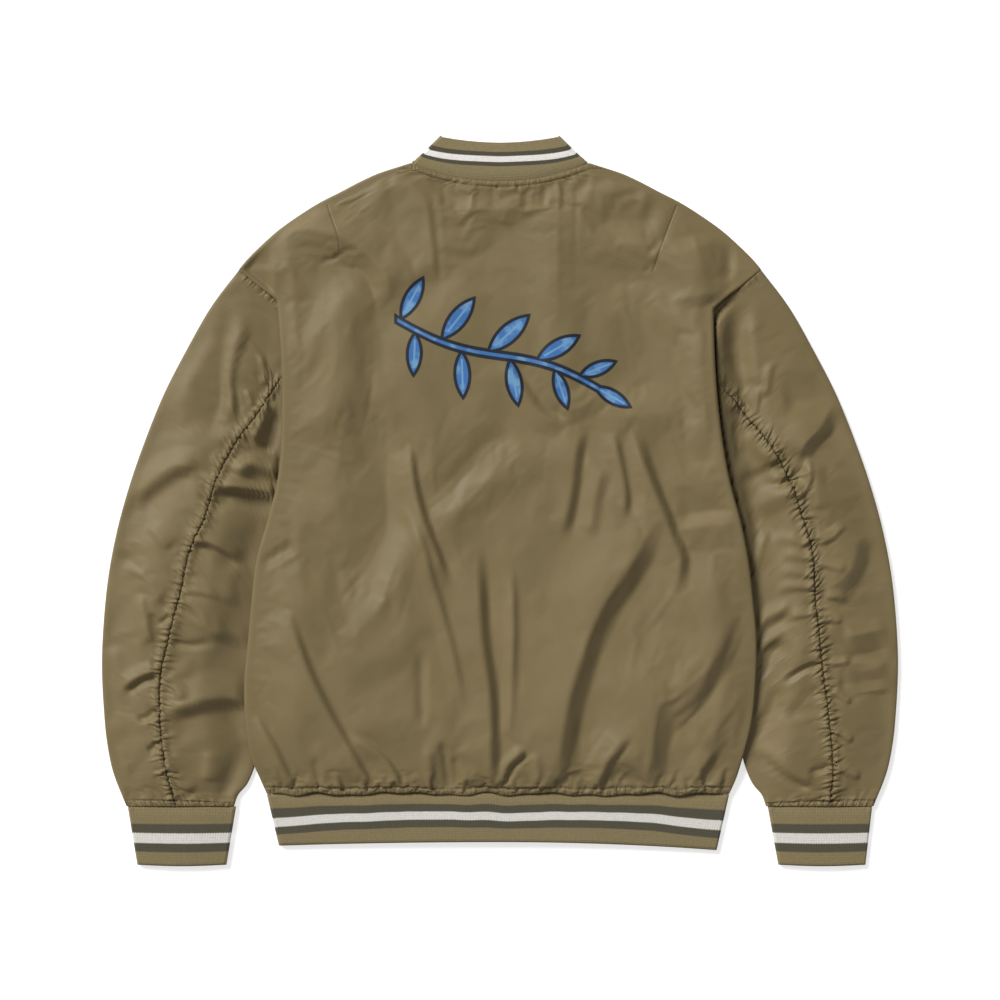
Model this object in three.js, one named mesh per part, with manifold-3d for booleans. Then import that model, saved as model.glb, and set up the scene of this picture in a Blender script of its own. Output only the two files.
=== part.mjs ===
// A stadium jacket laid out flat with its back up: a light woven shell with rib knit collar, cuffs and hem.
// Millimetres, +Z up. X runs across the jacket, Y runs from the hem towards the collar, and Z = 0 is the
// surface it lies on. The two fronts and the lower halves of the sleeves lie on that surface; the back and
// the upper halves of the sleeves lie over them. The body's side edges lie over the sleeves' inner edges.
import * as THREE from "three";
import Module from "manifold-3d";

// Cloth.
const SHELL = 1.5; // woven shell and its lining
const RIB = 3; // rib knit, folded double
const GAP = 0.3; // between two pieces at a seam
const ROLL_RADIUS = 2.6; // of the back's side edges, seen from above
const ARMHOLE_GAP = 2; // across the armhole seam, whose two edges have their points at different places

// Heights above the surface.
const FOLD_HEIGHT = 6.4; // the sleeve's outer fold
const TUCKED_HEIGHT = 4.2; // the sleeve where it lies under the body
const OVER_SLEEVE = TUCKED_HEIGHT + 0.4; // underside of what lies on the sleeve
const RIB_HEIGHT = 2 * RIB + 0.8; // a flattened rib tube

// Levels along the jacket.
const HEM_SEAM = -306;
const HEM_END = -356;
const CUFF_SEAM = -319;
const CUFF_END = -380;
const ARMPIT = -12;
const SHOULDER_POINT = 240;
const FOLD_TOP = 205; // where the body's side fold starts
const NECK_SIDE = 352;
const NECK_BACK = 333;
const NECK_FRONT = 258;
const NECK_HALF_WIDTH = 90;
const NECK_MARGIN = 3.5; // the shell's neck corners lie this far outside the collar's

// The front closure: the left front laps over the right one, with press studs through both.
const LAP = 14; // each front passes the centre line by this much
const LEFT_LAP_HEIGHT = 1.8; // underside of the left front's lap, over the studs' caps
const RIGHT_LAP_HEIGHT = LEFT_LAP_HEIGHT + SHELL + GAP;
const LAP_STEP = 7; // how far a front takes to rise to its lap
const STUD_COUNT = 6;
const STUD_FIRST = 244;
const STUD_SPACING = 102;
const STUD_CAP_RADIUS = 7;
const STUD_POST_RADIUS = 2;
const STUD_HEAD_RADIUS = 5;
const STUD_HEAD = 0.9;

// Gathers: waves of cloth that are taken up by a seam.
const SLEEVE_GATHERS = 36;
const HEM_GATHERS = 30;
const NECK_GATHERS = 12;

// Half widths of the body's side edges, outside to outside.
const BODY_EDGE = [
  { y: 205, left: 232, right: 222 },
  { y: 150, left: 228, right: 223 },
  { y: 95, left: 227, right: 227 },
  { y: 20, left: 232, right: 239 },
  { y: -25, left: 243, right: 251 },
  { y: -60, left: 253, right: 258 },
  { y: -100, left: 258, right: 263 },
  { y: -145, left: 262, right: 267 },
  { y: -190, left: 266, right: 266 },
  { y: -230, left: 265, right: 262 },
  { y: -270, left: 258, right: 252 },
  { y: -290, left: 250, right: 246 },
  { y: -306, left: 243, right: 239 },
];

// The shoulder, from the neck down to where the sleeve is set in.
const SHOULDER = [
  { y: 351, x: 93.5 },
  { y: 346.5, x: 108 },
  { y: 341, x: 125 },
  { y: 333, x: 143 },
  { y: 320, x: 168 },
  { y: 312, x: 184 },
  { y: 296, x: 210 },
  { y: 281, x: 231 },
  { y: 265, x: 249 },
  { y: 250, x: 264 },
  { y: 240, x: 272 },
];

// The armhole seam.
const ARMHOLE = [
  { y: 240, x: 272 },
  { y: 222, x: 250 },
  { y: 208, x: 232 },
  { y: 190, x: 214 },
  { y: 150, x: 203 },
  { y: 100, x: 201 },
  { y: 50, x: 204 },
  { y: 15, x: 208 },
  { y: -12, x: 211 },
];

// The sleeve's outer fold, its inner fold and its back seam, from the armhole to the cuff.
const SLEEVE_OUTER = [
  { y: 240, x: 272 },
  { y: 203, x: 300 },
  { y: 156, x: 327 },
  { y: 109, x: 351 },
  { y: 62, x: 370 },
  { y: 16, x: 386 },
  { y: -31, x: 399 },
  { y: -78, x: 408 },
  { y: -125, x: 413 },
  { y: -172, x: 415 },
  { y: -218, x: 413 },
  { y: -250, x: 410 },
  { y: -281, x: 404 },
  { y: -319, x: 392 },
];
const SLEEVE_INNER = [
  { y: -12, x: 211 },
  { y: -45, x: 219 },
  { y: -85, x: 229 },
  { y: -130, x: 237 },
  { y: -180, x: 243 },
  { y: -230, x: 248 },
  { y: -265, x: 252 },
  { y: -279, x: 256 },
  { y: -297, x: 264 },
  { y: -308, x: 273 },
  { y: -319, x: 277 },
];
const SLEEVE_SEAM = [
  { y: 160, left: 204.5, right: 204.5 },
  { y: 130, left: 226, right: 223 },
  { y: 90, left: 253, right: 254 },
  { y: 58, left: 275, right: 280 },
  { y: 21, left: 294, right: 300 },
  { y: -18, left: 306, right: 314 },
  { y: -49, left: 320, right: 323 },
  { y: -98, left: 332, right: 327 },
  { y: -145, left: 344, right: 332 },
  { y: -184, left: 352, right: 336 },
  { y: -215, left: 353, right: 340 },
  { y: -250, left: 351, right: 344 },
  { y: -282, left: 346, right: 346 },
  { y: -319, left: 337, right: 343 },
];
const SLEEVE_PUFF = [
  { along: 0, height: 7.5 },
  { along: 0.15, height: 12 },
  { along: 0.4, height: 17 },
  { along: 0.7, height: 16 },
  { along: 0.92, height: 13 },
  { along: 1, height: 8 },
];

// Heights of the back: of its middle, and of its rolled side edge.
const BACK_HEIGHT = [
  { y: -306, middle: 9, edge: 6.8 },
  { y: -294, middle: 15, edge: 8.5 },
  { y: -270, middle: 19, edge: 11.3 },
  { y: -200, middle: 20, edge: 12.4 },
  { y: -50, middle: 19, edge: 12.2 },
  { y: 60, middle: 18, edge: 10.6 },
  { y: 180, middle: 15, edge: 10.2 },
  { y: 205, middle: 14, edge: 10 },
  { y: 225, middle: 13.2, edge: 9.6 },
  { y: 242, middle: 12.6, edge: 9 },
  { y: 256, middle: 12, edge: 7.2 },
  { y: 300, middle: 10, edge: 6.8 },
  { y: 351, middle: 7.8, edge: 6.8 },
];

// The largest folds: a soft ridge (or trough, with a height below zero) from one point to another, bowed
// sideways by bow at its middle. steep makes the flank on the right of its direction narrower.
const BACK_FOLDS = [
  { x0: 160, y0: -30, x1: 58, y1: -290, bow: -14, width: 30, steep: 0.4, height: 8 },
  { x0: 174, y0: -40, x1: 84, y1: -285, bow: -14, width: 16, steep: 1, height: -5 },
  { x0: 246, y0: -125, x1: 146, y1: -290, bow: 16, width: 15, steep: 1, height: -5 },
  { x0: 225, y0: -120, x1: 128, y1: -250, bow: 12, width: 24, steep: 0.6, height: 5 },
  { x0: 104, y0: 100, x1: 126, y1: -30, bow: 8, width: 17, steep: 0.35, height: 5 },
  { x0: 88, y0: 80, x1: 72, y1: -35, bow: -5, width: 13, steep: 1, height: -3.5 },
  { x0: 130, y0: 108, x1: 186, y1: -72, bow: 5, width: 15, steep: 1, height: -4 },
  { x0: -98, y0: 60, x1: -58, y1: -80, bow: -4, width: 20, steep: 0.4, height: 4 },
  { x0: -104, y0: -20, x1: -36, y1: -225, bow: -5, width: 22, steep: 0.35, height: 5 },
  { x0: 12, y0: 56, x1: -72, y1: -6, bow: 6, width: 14, steep: 0.7, height: 4.5 },
  { x0: 12, y0: 72, x1: -68, y1: 8, bow: -14, width: 12, steep: 1, height: -3.5 },
  { x0: -8, y0: -60, x1: -6, y1: -296, bow: 6, width: 12, steep: 0.5, height: -5 },
  { x0: 16, y0: -75, x1: 15, y1: -255, bow: 0, width: 9, steep: 1, height: -3 },
  { x0: -222, y0: -125, x1: -132, y1: -296, bow: 4, width: 22, steep: 0.4, height: 6 },
  { x0: -256, y0: -225, x1: -218, y1: -296, bow: 4, width: 14, steep: 0.6, height: 4 },
  { x0: -156, y0: 225, x1: -164, y1: 60, bow: 0, width: 22, steep: 1, height: -3.5 },
  { x0: -72, y0: 320, x1: -62, y1: 200, bow: 0, width: 12, steep: 1, height: -3 },
  { x0: 78, y0: 320, x1: 72, y1: 215, bow: 0, width: 20, steep: 1, height: -3 },
  { x0: -222, y0: 272, x1: -130, y1: 230, bow: 8, width: 11, steep: 1, height: -3 },
];
const LEFT_SLEEVE_FOLDS = [
  { x0: 352, y0: -232, x1: 262, y1: -214, bow: 4, width: 11, steep: 1, height: -7 },
  { x0: 300, y0: 10, x1: 240, y1: 2, bow: 3, width: 10, steep: 1, height: -6 },
  { x0: 262, y0: 84, x1: 240, y1: 24, bow: 6, width: 10, steep: 1, height: -5 },
  { x0: 392, y0: -30, x1: 318, y1: 4, bow: 6, width: 12, steep: 1, height: -5 },
  { x0: 394, y0: -204, x1: 356, y1: -188, bow: 3, width: 9, steep: 1, height: -4 },
  { x0: 270, y0: 180, x1: 278, y1: 80, bow: 4, width: 10, steep: 1, height: -3.5 },
];
const RIGHT_SLEEVE_FOLDS = [
  { x0: 346, y0: 88, x1: 306, y1: 34, bow: -4, width: 13, steep: 1, height: -5 },
  { x0: 258, y0: 10, x1: 312, y1: 12, bow: 6, width: 11, steep: 1, height: -6 },
  { x0: 390, y0: -10, x1: 356, y1: -110, bow: 8, width: 16, steep: 1, height: -5 },
  { x0: 314, y0: -116, x1: 272, y1: -225, bow: -14, width: 16, steep: 1, height: -6 },
  { x0: 394, y0: -136, x1: 340, y1: -176, bow: 4, width: 13, steep: 1, height: -4 },
  { x0: 268, y0: -258, x1: 318, y1: -302, bow: 4, width: 9, steep: 1, height: -4 },
];

// ---- Small functions ----

const clamp = (x) => Math.min(1, Math.max(0, x));
const mix = (a, b, t) => a + (b - a) * t;
const span = (from, to, steps) => Array.from({ length: steps + 1 }, (_, i) => mix(from, to, i / steps));

function ease(from, to, x) {
  const t = clamp((x - from) / (to - from));
  return t * t * (3 - 2 * t);
}

// A smooth function through the rows of a table: the value column against the key column.
function through(table, key, value) {
  const rows = [...table].sort((a, b) => a[key] - b[key]);
  const slope = rows.map((_, i) => {
    const a = rows[Math.max(0, i - 1)];
    const b = rows[Math.min(rows.length - 1, i + 1)];
    return (b[value] - a[value]) / (b[key] - a[key]);
  });
  return (k) => {
    if (k <= rows[0][key]) return rows[0][value];
    if (k >= rows.at(-1)[key]) return rows.at(-1)[value];
    const i = rows.findIndex((row) => row[key] > k) - 1;
    const step = rows[i + 1][key] - rows[i][key];
    const t = (k - rows[i][key]) / step;
    const start = (1 + 2 * t) * (1 - t) ** 2 * rows[i][value] + t * (1 - t) ** 2 * step * slope[i];
    const end = t * t * (3 - 2 * t) * rows[i + 1][value] + t * t * (t - 1) * step * slope[i + 1];
    return start + end;
  };
}

// The height that a list of folds adds at a point.
function foldsAt(folds, x, y) {
  let height = 0;
  for (const fold of folds) {
    const dx = fold.x1 - fold.x0;
    const dy = fold.y1 - fold.y0;
    const length = Math.hypot(dx, dy);
    const along = ((x - fold.x0) * dx + (y - fold.y0) * dy) / length ** 2;
    const aside = ((x - fold.x0) * dy - (y - fold.y0) * dx) / length - fold.bow * 4 * along * (1 - along);
    const width = aside > 0 ? fold.width * fold.steep : fold.width;
    const ends = ease(-0.12, 0.2, along) * (1 - ease(0.8, 1.12, along));
    height += fold.height * ends * Math.exp(-((aside / width) ** 2));
  }
  return height;
}

// A gather's wave, at its crest or in its trough at every half step; sizes differ from one to the next.
function gatherWave(phase) {
  const crest = 0.5 - 0.5 * Math.cos(2 * Math.PI * phase);
  return crest * (0.7 + 0.3 * Math.sin(5.1 * Math.floor(phase)));
}

// ---- Walls ----

// A surface's outward normal, from points a little to each side.
function normalAt(at, u, v) {
  const small = 1e-3;
  const along = at(Math.min(1, u + small), v).sub(at(Math.max(0, u - small), v));
  const across = at(u, Math.min(1, v + small)).sub(at(u, Math.max(0, v - small)));
  return along.cross(across).normalize();
}

// Triangles between two rows of corners, which may have different numbers of them: each corner joins the
// nearest ones in u on the other row.
function joinRows(triangles, a, b) {
  let i = 0;
  let j = 0;
  while (i < a.length - 1 || j < b.length - 1) {
    const nextA = i < a.length - 1 ? a[i + 1].u : Infinity;
    const nextB = j < b.length - 1 ? b[j + 1].u : Infinity;
    if (nextA <= nextB) {
      triangles.push(a[i].index, a[i + 1].index, b[j].index);
      i += 1;
    } else {
      triangles.push(a[i].index, b[j + 1].index, b[j].index);
      j += 1;
    }
  }
}

// A closed wall between the rows of its outer face and the rows of its inner face. In a ring, each row ends
// where it starts.
function wall(outerRows, innerRows, ring = false) {
  const points = [];
  const triangles = [];
  const number = (rows) =>
    rows.map((row) => {
      const first = points.length / 3;
      (ring ? row.slice(0, -1) : row).forEach(({ point }) => points.push(point.x, point.y, point.z));
      return row.map(({ u }, i) => ({ u, index: ring && i === row.length - 1 ? first : first + i }));
    });
  const outer = number(outerRows);
  const inner = number(innerRows);
  for (let k = 0; k + 1 < outer.length; k += 1) joinRows(triangles, outer[k], outer[k + 1]);
  const inside = [];
  for (let k = 0; k + 1 < inner.length; k += 1) joinRows(inside, inner[k], inner[k + 1]);
  for (let k = 0; k < inside.length; k += 3) triangles.push(inside[k], inside[k + 2], inside[k + 1]);
  joinRows(triangles, inner[0], outer[0]);
  joinRows(triangles, outer.at(-1), inner.at(-1));
  if (!ring) {
    const starts = (rows) => rows.map((row, k) => ({ index: row[0].index, u: k }));
    const ends = (rows) => rows.map((row, k) => ({ index: row.at(-1).index, u: k }));
    joinRows(triangles, starts(outer), starts(inner));
    joinRows(triangles, ends(inner), ends(outer));
  }
  return facingOut(points, triangles);
}

function facingOut(points, triangles) {
  const corner = (k) => new THREE.Vector3(...points.slice(3 * triangles[k], 3 * triangles[k] + 3));
  let volume = 0;
  for (let k = 0; k < triangles.length; k += 3) volume += corner(k).dot(corner(k + 1).cross(corner(k + 2)));
  if (volume < 0) {
    for (let k = 0; k < triangles.length; k += 3) {
      [triangles[k + 1], triangles[k + 2]] = [triangles[k + 2], triangles[k + 1]];
    }
  }
  const geometry = new THREE.BufferGeometry();
  geometry.setAttribute("position", new THREE.Float32BufferAttribute(points, 3));
  geometry.setIndex(triangles);
  return geometry;
}

// The wall of a surface at(u, v), whose outward side is +1 or -1 times its normal. Its rows run along u at
// each v of rows, with the u values of plainAt(v). The outer face may have finer rows, with the u values of
// gatheredAt(v), whose points stand on the plain face, raised by raise(u, v).
// No point passes seamAt, the level of the seam at the panel's lower end.
function panel({ at, side, rows, plainAt, gatheredAt = plainAt, raise = () => 0, ...rest }) {
  const { thickness = SHELL, seamAt, ring } = rest;
  const moved = (point, u, v, distance) => {
    point.addScaledVector(normalAt(at, u, v), side * distance);
    if (seamAt !== undefined) point.y = Math.max(point.y, seamAt);
    return { point, u };
  };
  const onPlain = (u, v) => {
    const plain = plainAt(v);
    const next = Math.max(1, plain.findIndex((other) => other >= u - 1e-9));
    const [from, to] = [plain[next - 1], plain[next]];
    return at(from, v).lerp(at(to, v), (u - from) / (to - from));
  };
  const innerAt = (v) => (v === rows[0] || v === rows.at(-1) ? gatheredAt(v) : plainAt(v));
  const outer = rows.map((v) => gatheredAt(v).map((u) => moved(onPlain(u, v), u, v, raise(u, v))));
  const inner = rows.map((v) => innerAt(v).map((u) => moved(onPlain(u, v), u, v, -thickness)));
  return wall(outer, inner, ring);
}

// ---- The jacket's outline ----

const bodyEdge = {
  left: through(BODY_EDGE, "y", "left"),
  right: through(BODY_EDGE, "y", "right"),
};
const shoulderAt = through(SHOULDER, "y", "x");
const armholeAt = through(ARMHOLE, "y", "x");
const sleeveInnerAt = through(SLEEVE_INNER, "y", "x");
const backMiddle = through(BACK_HEIGHT, "y", "middle");
const backEdge = through(BACK_HEIGHT, "y", "edge");
const sleevePuff = through(SLEEVE_PUFF, "along", "height");
const sideOf = (x) => (x < 0 ? "left" : "right");

// How far the back's outline is from the centre line.
function backOutline(side, y) {
  const gap = ARMHOLE_GAP * ease(SHOULDER_POINT + 14, SHOULDER_POINT, y);
  if (y >= SHOULDER_POINT) return shoulderAt(y) - gap;
  const seam = armholeAt(y) - ARMHOLE_GAP;
  if (y >= FOLD_TOP + 6) return seam;
  return mix(bodyEdge[side](y), seam, ease(FOLD_TOP - 8, FOLD_TOP + 6, y));
}

// How high the fronts are lifted where they lie over the sleeve's inner fold.
function frontLift(x, y) {
  const inner = sleeveInnerAt(y);
  return OVER_SLEEVE * ease(inner - 14, inner - 2, Math.abs(x)) * ease(ARMPIT - 3, ARMPIT - 33, y);
}

// ---- Fronts ----

const neckAngles = [0, ...span(0.3, Math.PI / 2, 7)];
const neckFrontY = (angle) => NECK_SIDE - (NECK_SIDE - NECK_FRONT) * Math.cos(angle);
const neckFrontX = (angle) => NECK_HALF_WIDTH * Math.sin(angle);

function frontOutline(side, y) {
  if (y >= SHOULDER_POINT) return shoulderAt(y) - 1;
  if (y >= ARMPIT) return armholeAt(y) - ARMHOLE_GAP;
  const besideSleeve = sleeveInnerAt(y) - 1.5;
  return mix(besideSleeve, bodyEdge[side](y) - 3.5, ease(ARMPIT - 35, ARMPIT - 65, y));
}

// The front on one side: sign is -1 for the left one, whose lap lies under the right one's here.
function front(sign) {
  const side = sign < 0 ? "left" : "right";
  const lapHeight = sign < 0 ? LEFT_LAP_HEIGHT : RIGHT_LAP_HEIGHT;
  const flatFrom = LAP + (sign < 0 ? 3 : 10);
  const belowNeck = [
    ...[HEM_SEAM, -294, -285, -277, -269, -255, -230, -185, -130, -100, -75, -50, -35],
    ...[ARMPIT, 20, 70, 120, 165, 205, 235],
  ];
  const levels = [...belowNeck, NECK_FRONT - 3 * GAP].map((y) => ({ y, start: -LAP }));
  for (const angle of neckAngles) {
    levels.push({
      y: neckFrontY(angle) - 2 * GAP * Math.cos(angle) - 4 * GAP * Math.sin(angle) ** 4,
      start: neckFrontX(angle) + GAP + (NECK_MARGIN - 2) * Math.sin(angle),
    });
  }
  // Where the points of a row lie across the front: close together at the lap's step and at the side.
  const columns = levels.map(({ y, start }) => {
    const steps = [flatFrom - LAP_STEP - 3, flatFrom - LAP_STEP, flatFrom - LAP_STEP / 2, flatFrom];
    const lap = steps.map((x, i) => Math.max(x, start + 0.3 * (i + 1)));
    const end = frontOutline(side, y);
    const spread = [0.4, 0.78, 0.9, 0.95, 1].map((t) => mix(lap.at(-1), end, t));
    const fold = sleeveInnerAt(y);
    const overFold = [fold / 2, ...[14, 8, 2].map((d) => Math.min(fold - d, end - 1 - d / 4)), end];
    return [start, ...lap, ...(y < ARMPIT - 20 ? overFold : spread)];
  });
  const last = levels.length - 1;
  const lastColumn = columns[0].length - 1;
  const at = (u, v) => {
    const k = Math.min(last - 1, Math.floor(v * last));
    const i = Math.min(lastColumn - 1, Math.floor(u * lastColumn));
    const up = v * last - k;
    const out = u * lastColumn - i;
    const lower = mix(columns[k][i], columns[k][i + 1], out);
    const upper = mix(columns[k + 1][i], columns[k + 1][i + 1], out);
    const x = mix(lower, upper, up);
    const y = mix(levels[k].y, levels[k + 1].y, up);
    const lap = lapHeight * (1 - ease(flatFrom - LAP_STEP, flatFrom, x));
    return new THREE.Vector3(sign * x, y, lap + frontLift(x, y));
  };
  const rows = levels.map((_, k) => k / last);
  return panel({ at, side: -sign, rows, plainAt: () => span(0, 1, lastColumn), seamAt: HEM_SEAM });
}

// ---- Back ----

// Where the back's side edge ends after its turn: at the armhole seam, and below the armpit over the front's
// edge.
function backRim(side, y) {
  return frontOutline(side, y) - 3 * ease(ARMPIT + 12, ARMPIT - 8, y);
}

// Underside of the back's rolled edge: on the front, on the sleeve or on the shoulder of the front.
function edgeUnderside(side, y) {
  const onFront = frontLift(frontOutline(side, y), y) + SHELL + 4 * GAP;
  if (y < ARMPIT - 33) return onFront;
  if (y < ARMPIT + 20) return mix(OVER_SLEEVE + SHELL + GAP, OVER_SLEEVE, ease(ARMPIT, ARMPIT + 20, y));
  return mix(OVER_SLEEVE, SHELL + GAP, ease(SHOULDER_POINT, SHOULDER_POINT + 12, y));
}

// How far in the back's side edge rolls, measured along X: further where the outline slants.
function rollReach(side, y) {
  const slope = (backOutline(side, y + 1) - backOutline(side, y - 1)) / 2;
  return ROLL_RADIUS * Math.min(2.6, Math.hypot(1, slope));
}

// The height of the back's outer face at a point of its plan.
function backTop(x, y) {
  const side = sideOf(x);
  const inFromEdge = backOutline(side, y) - Math.abs(x);
  const rise = ease(2, 65, inFromEdge);
  const onRim = ease(HEM_SEAM, HEM_SEAM + 25, y) * (1 - ease(305, 330, y));
  const crease = side === "left" ? 235 : 217;
  const atCrease = ease(crease - 3, crease + 7, Math.abs(x)) * ease(6, 16, inFromEdge);
  const tuck = 2.2 * atCrease * ease(195, 206, y) * (1 - ease(240, 262, y));
  const folds = foldsAt(BACK_FOLDS, x, y) * ease(2, 30, inFromEdge) * onRim;
  return mix(backEdge(y), backMiddle(y), rise) + folds - tuck;
}

function back() {
  const TOP = NECK_SIDE - 3 * GAP;
  const neckDip = (x, y) => {
    const halfWidth = NECK_HALF_WIDTH + NECK_MARGIN;
    return (TOP - NECK_BACK + 3 * GAP) * ease(240, TOP, y) * (1 - clamp(Math.abs(x) / halfWidth) ** 2);
  };
  const levelOf = (v) => mix(HEM_SEAM, TOP, v);
  const TURN = 0.04;
  const ROLL = 0.12;
  const at = (u, v) => {
    const level = levelOf(v);
    const sign = u < 0.5 ? -1 : 1;
    const side = sideOf(sign);
    const fromEdge = u < 0.5 ? u : 1 - u;
    const outline = backOutline(side, level);
    const underside = edgeUnderside(side, level);
    const reach = rollReach(side, level);
    const top = backTop(sign * (outline - reach), level);
    const radius = (top - underside) / 2;
    if (fromEdge >= ROLL) {
      const leftX = -backOutline("left", level) + rollReach("left", level);
      const rightX = backOutline("right", level) - rollReach("right", level);
      const x = mix(leftX, rightX, (u - ROLL) / (1 - 2 * ROLL));
      return new THREE.Vector3(x, level - neckDip(x, level), backTop(x, level));
    }
    const rollCentre = outline - reach;
    if (fromEdge >= TURN) {
      const turn = (Math.PI * (fromEdge - TURN)) / (ROLL - TURN);
      const x = rollCentre + reach * Math.sin(turn);
      const z = underside + radius * (1 - Math.cos(turn));
      return new THREE.Vector3(sign * x, level - neckDip(x, level), z);
    }
    const turned = Math.max(0.6, rollCentre - backRim(side, level));
    const x = rollCentre - turned * (1 - fromEdge / TURN);
    return new THREE.Vector3(sign * x, level - neckDip(x, level), underside);
  };
  const edgeSteps = [0, ...span(TURN, ROLL, 4)];
  const across = (steps) => [
    ...edgeSteps,
    ...span(ROLL, 1 - ROLL, steps).slice(1, -1),
    ...edgeSteps.map((u) => 1 - u).reverse(),
  ];
  const rowOf = (y) => (y - HEM_SEAM) / (TOP - HEM_SEAM);
  const levels = [
    ...[HEM_SEAM, -301, -294, -282],
    ...span(-266, 182, 16),
    ...[197, 205, 212, 219, 226, 233, 239, 243, 250, 265, 281, 296, 312, 325, 336, 345, TOP],
  ];
  const columns = (v) => (levelOf(v) > FOLD_TOP ? 16 : 28);
  const gathered = (v) => {
    const y = levelOf(v);
    if (y < HEM_SEAM + 12) return 2 * HEM_GATHERS;
    return y > 330 ? 2 * NECK_GATHERS : columns(v);
  };
  const raise = (u, v) => {
    const y = levelOf(v);
    const inside = clamp((u - ROLL) / (1 - 2 * ROLL));
    const hem = 2.4 * (1 - ease(HEM_SEAM + 4, HEM_SEAM + 14, y)) * gatherWave(inside * HEM_GATHERS);
    return hem + 1.3 * ease(322, 345, y) * gatherWave(inside * NECK_GATHERS);
  };
  return panel({
    at,
    side: 1,
    rows: levels.map(rowOf),
    plainAt: (v) => across(columns(v)),
    gatheredAt: (v) => across(gathered(v)),
    raise,
    seamAt: HEM_SEAM,
  });
}

// ---- Sleeves ----

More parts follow.
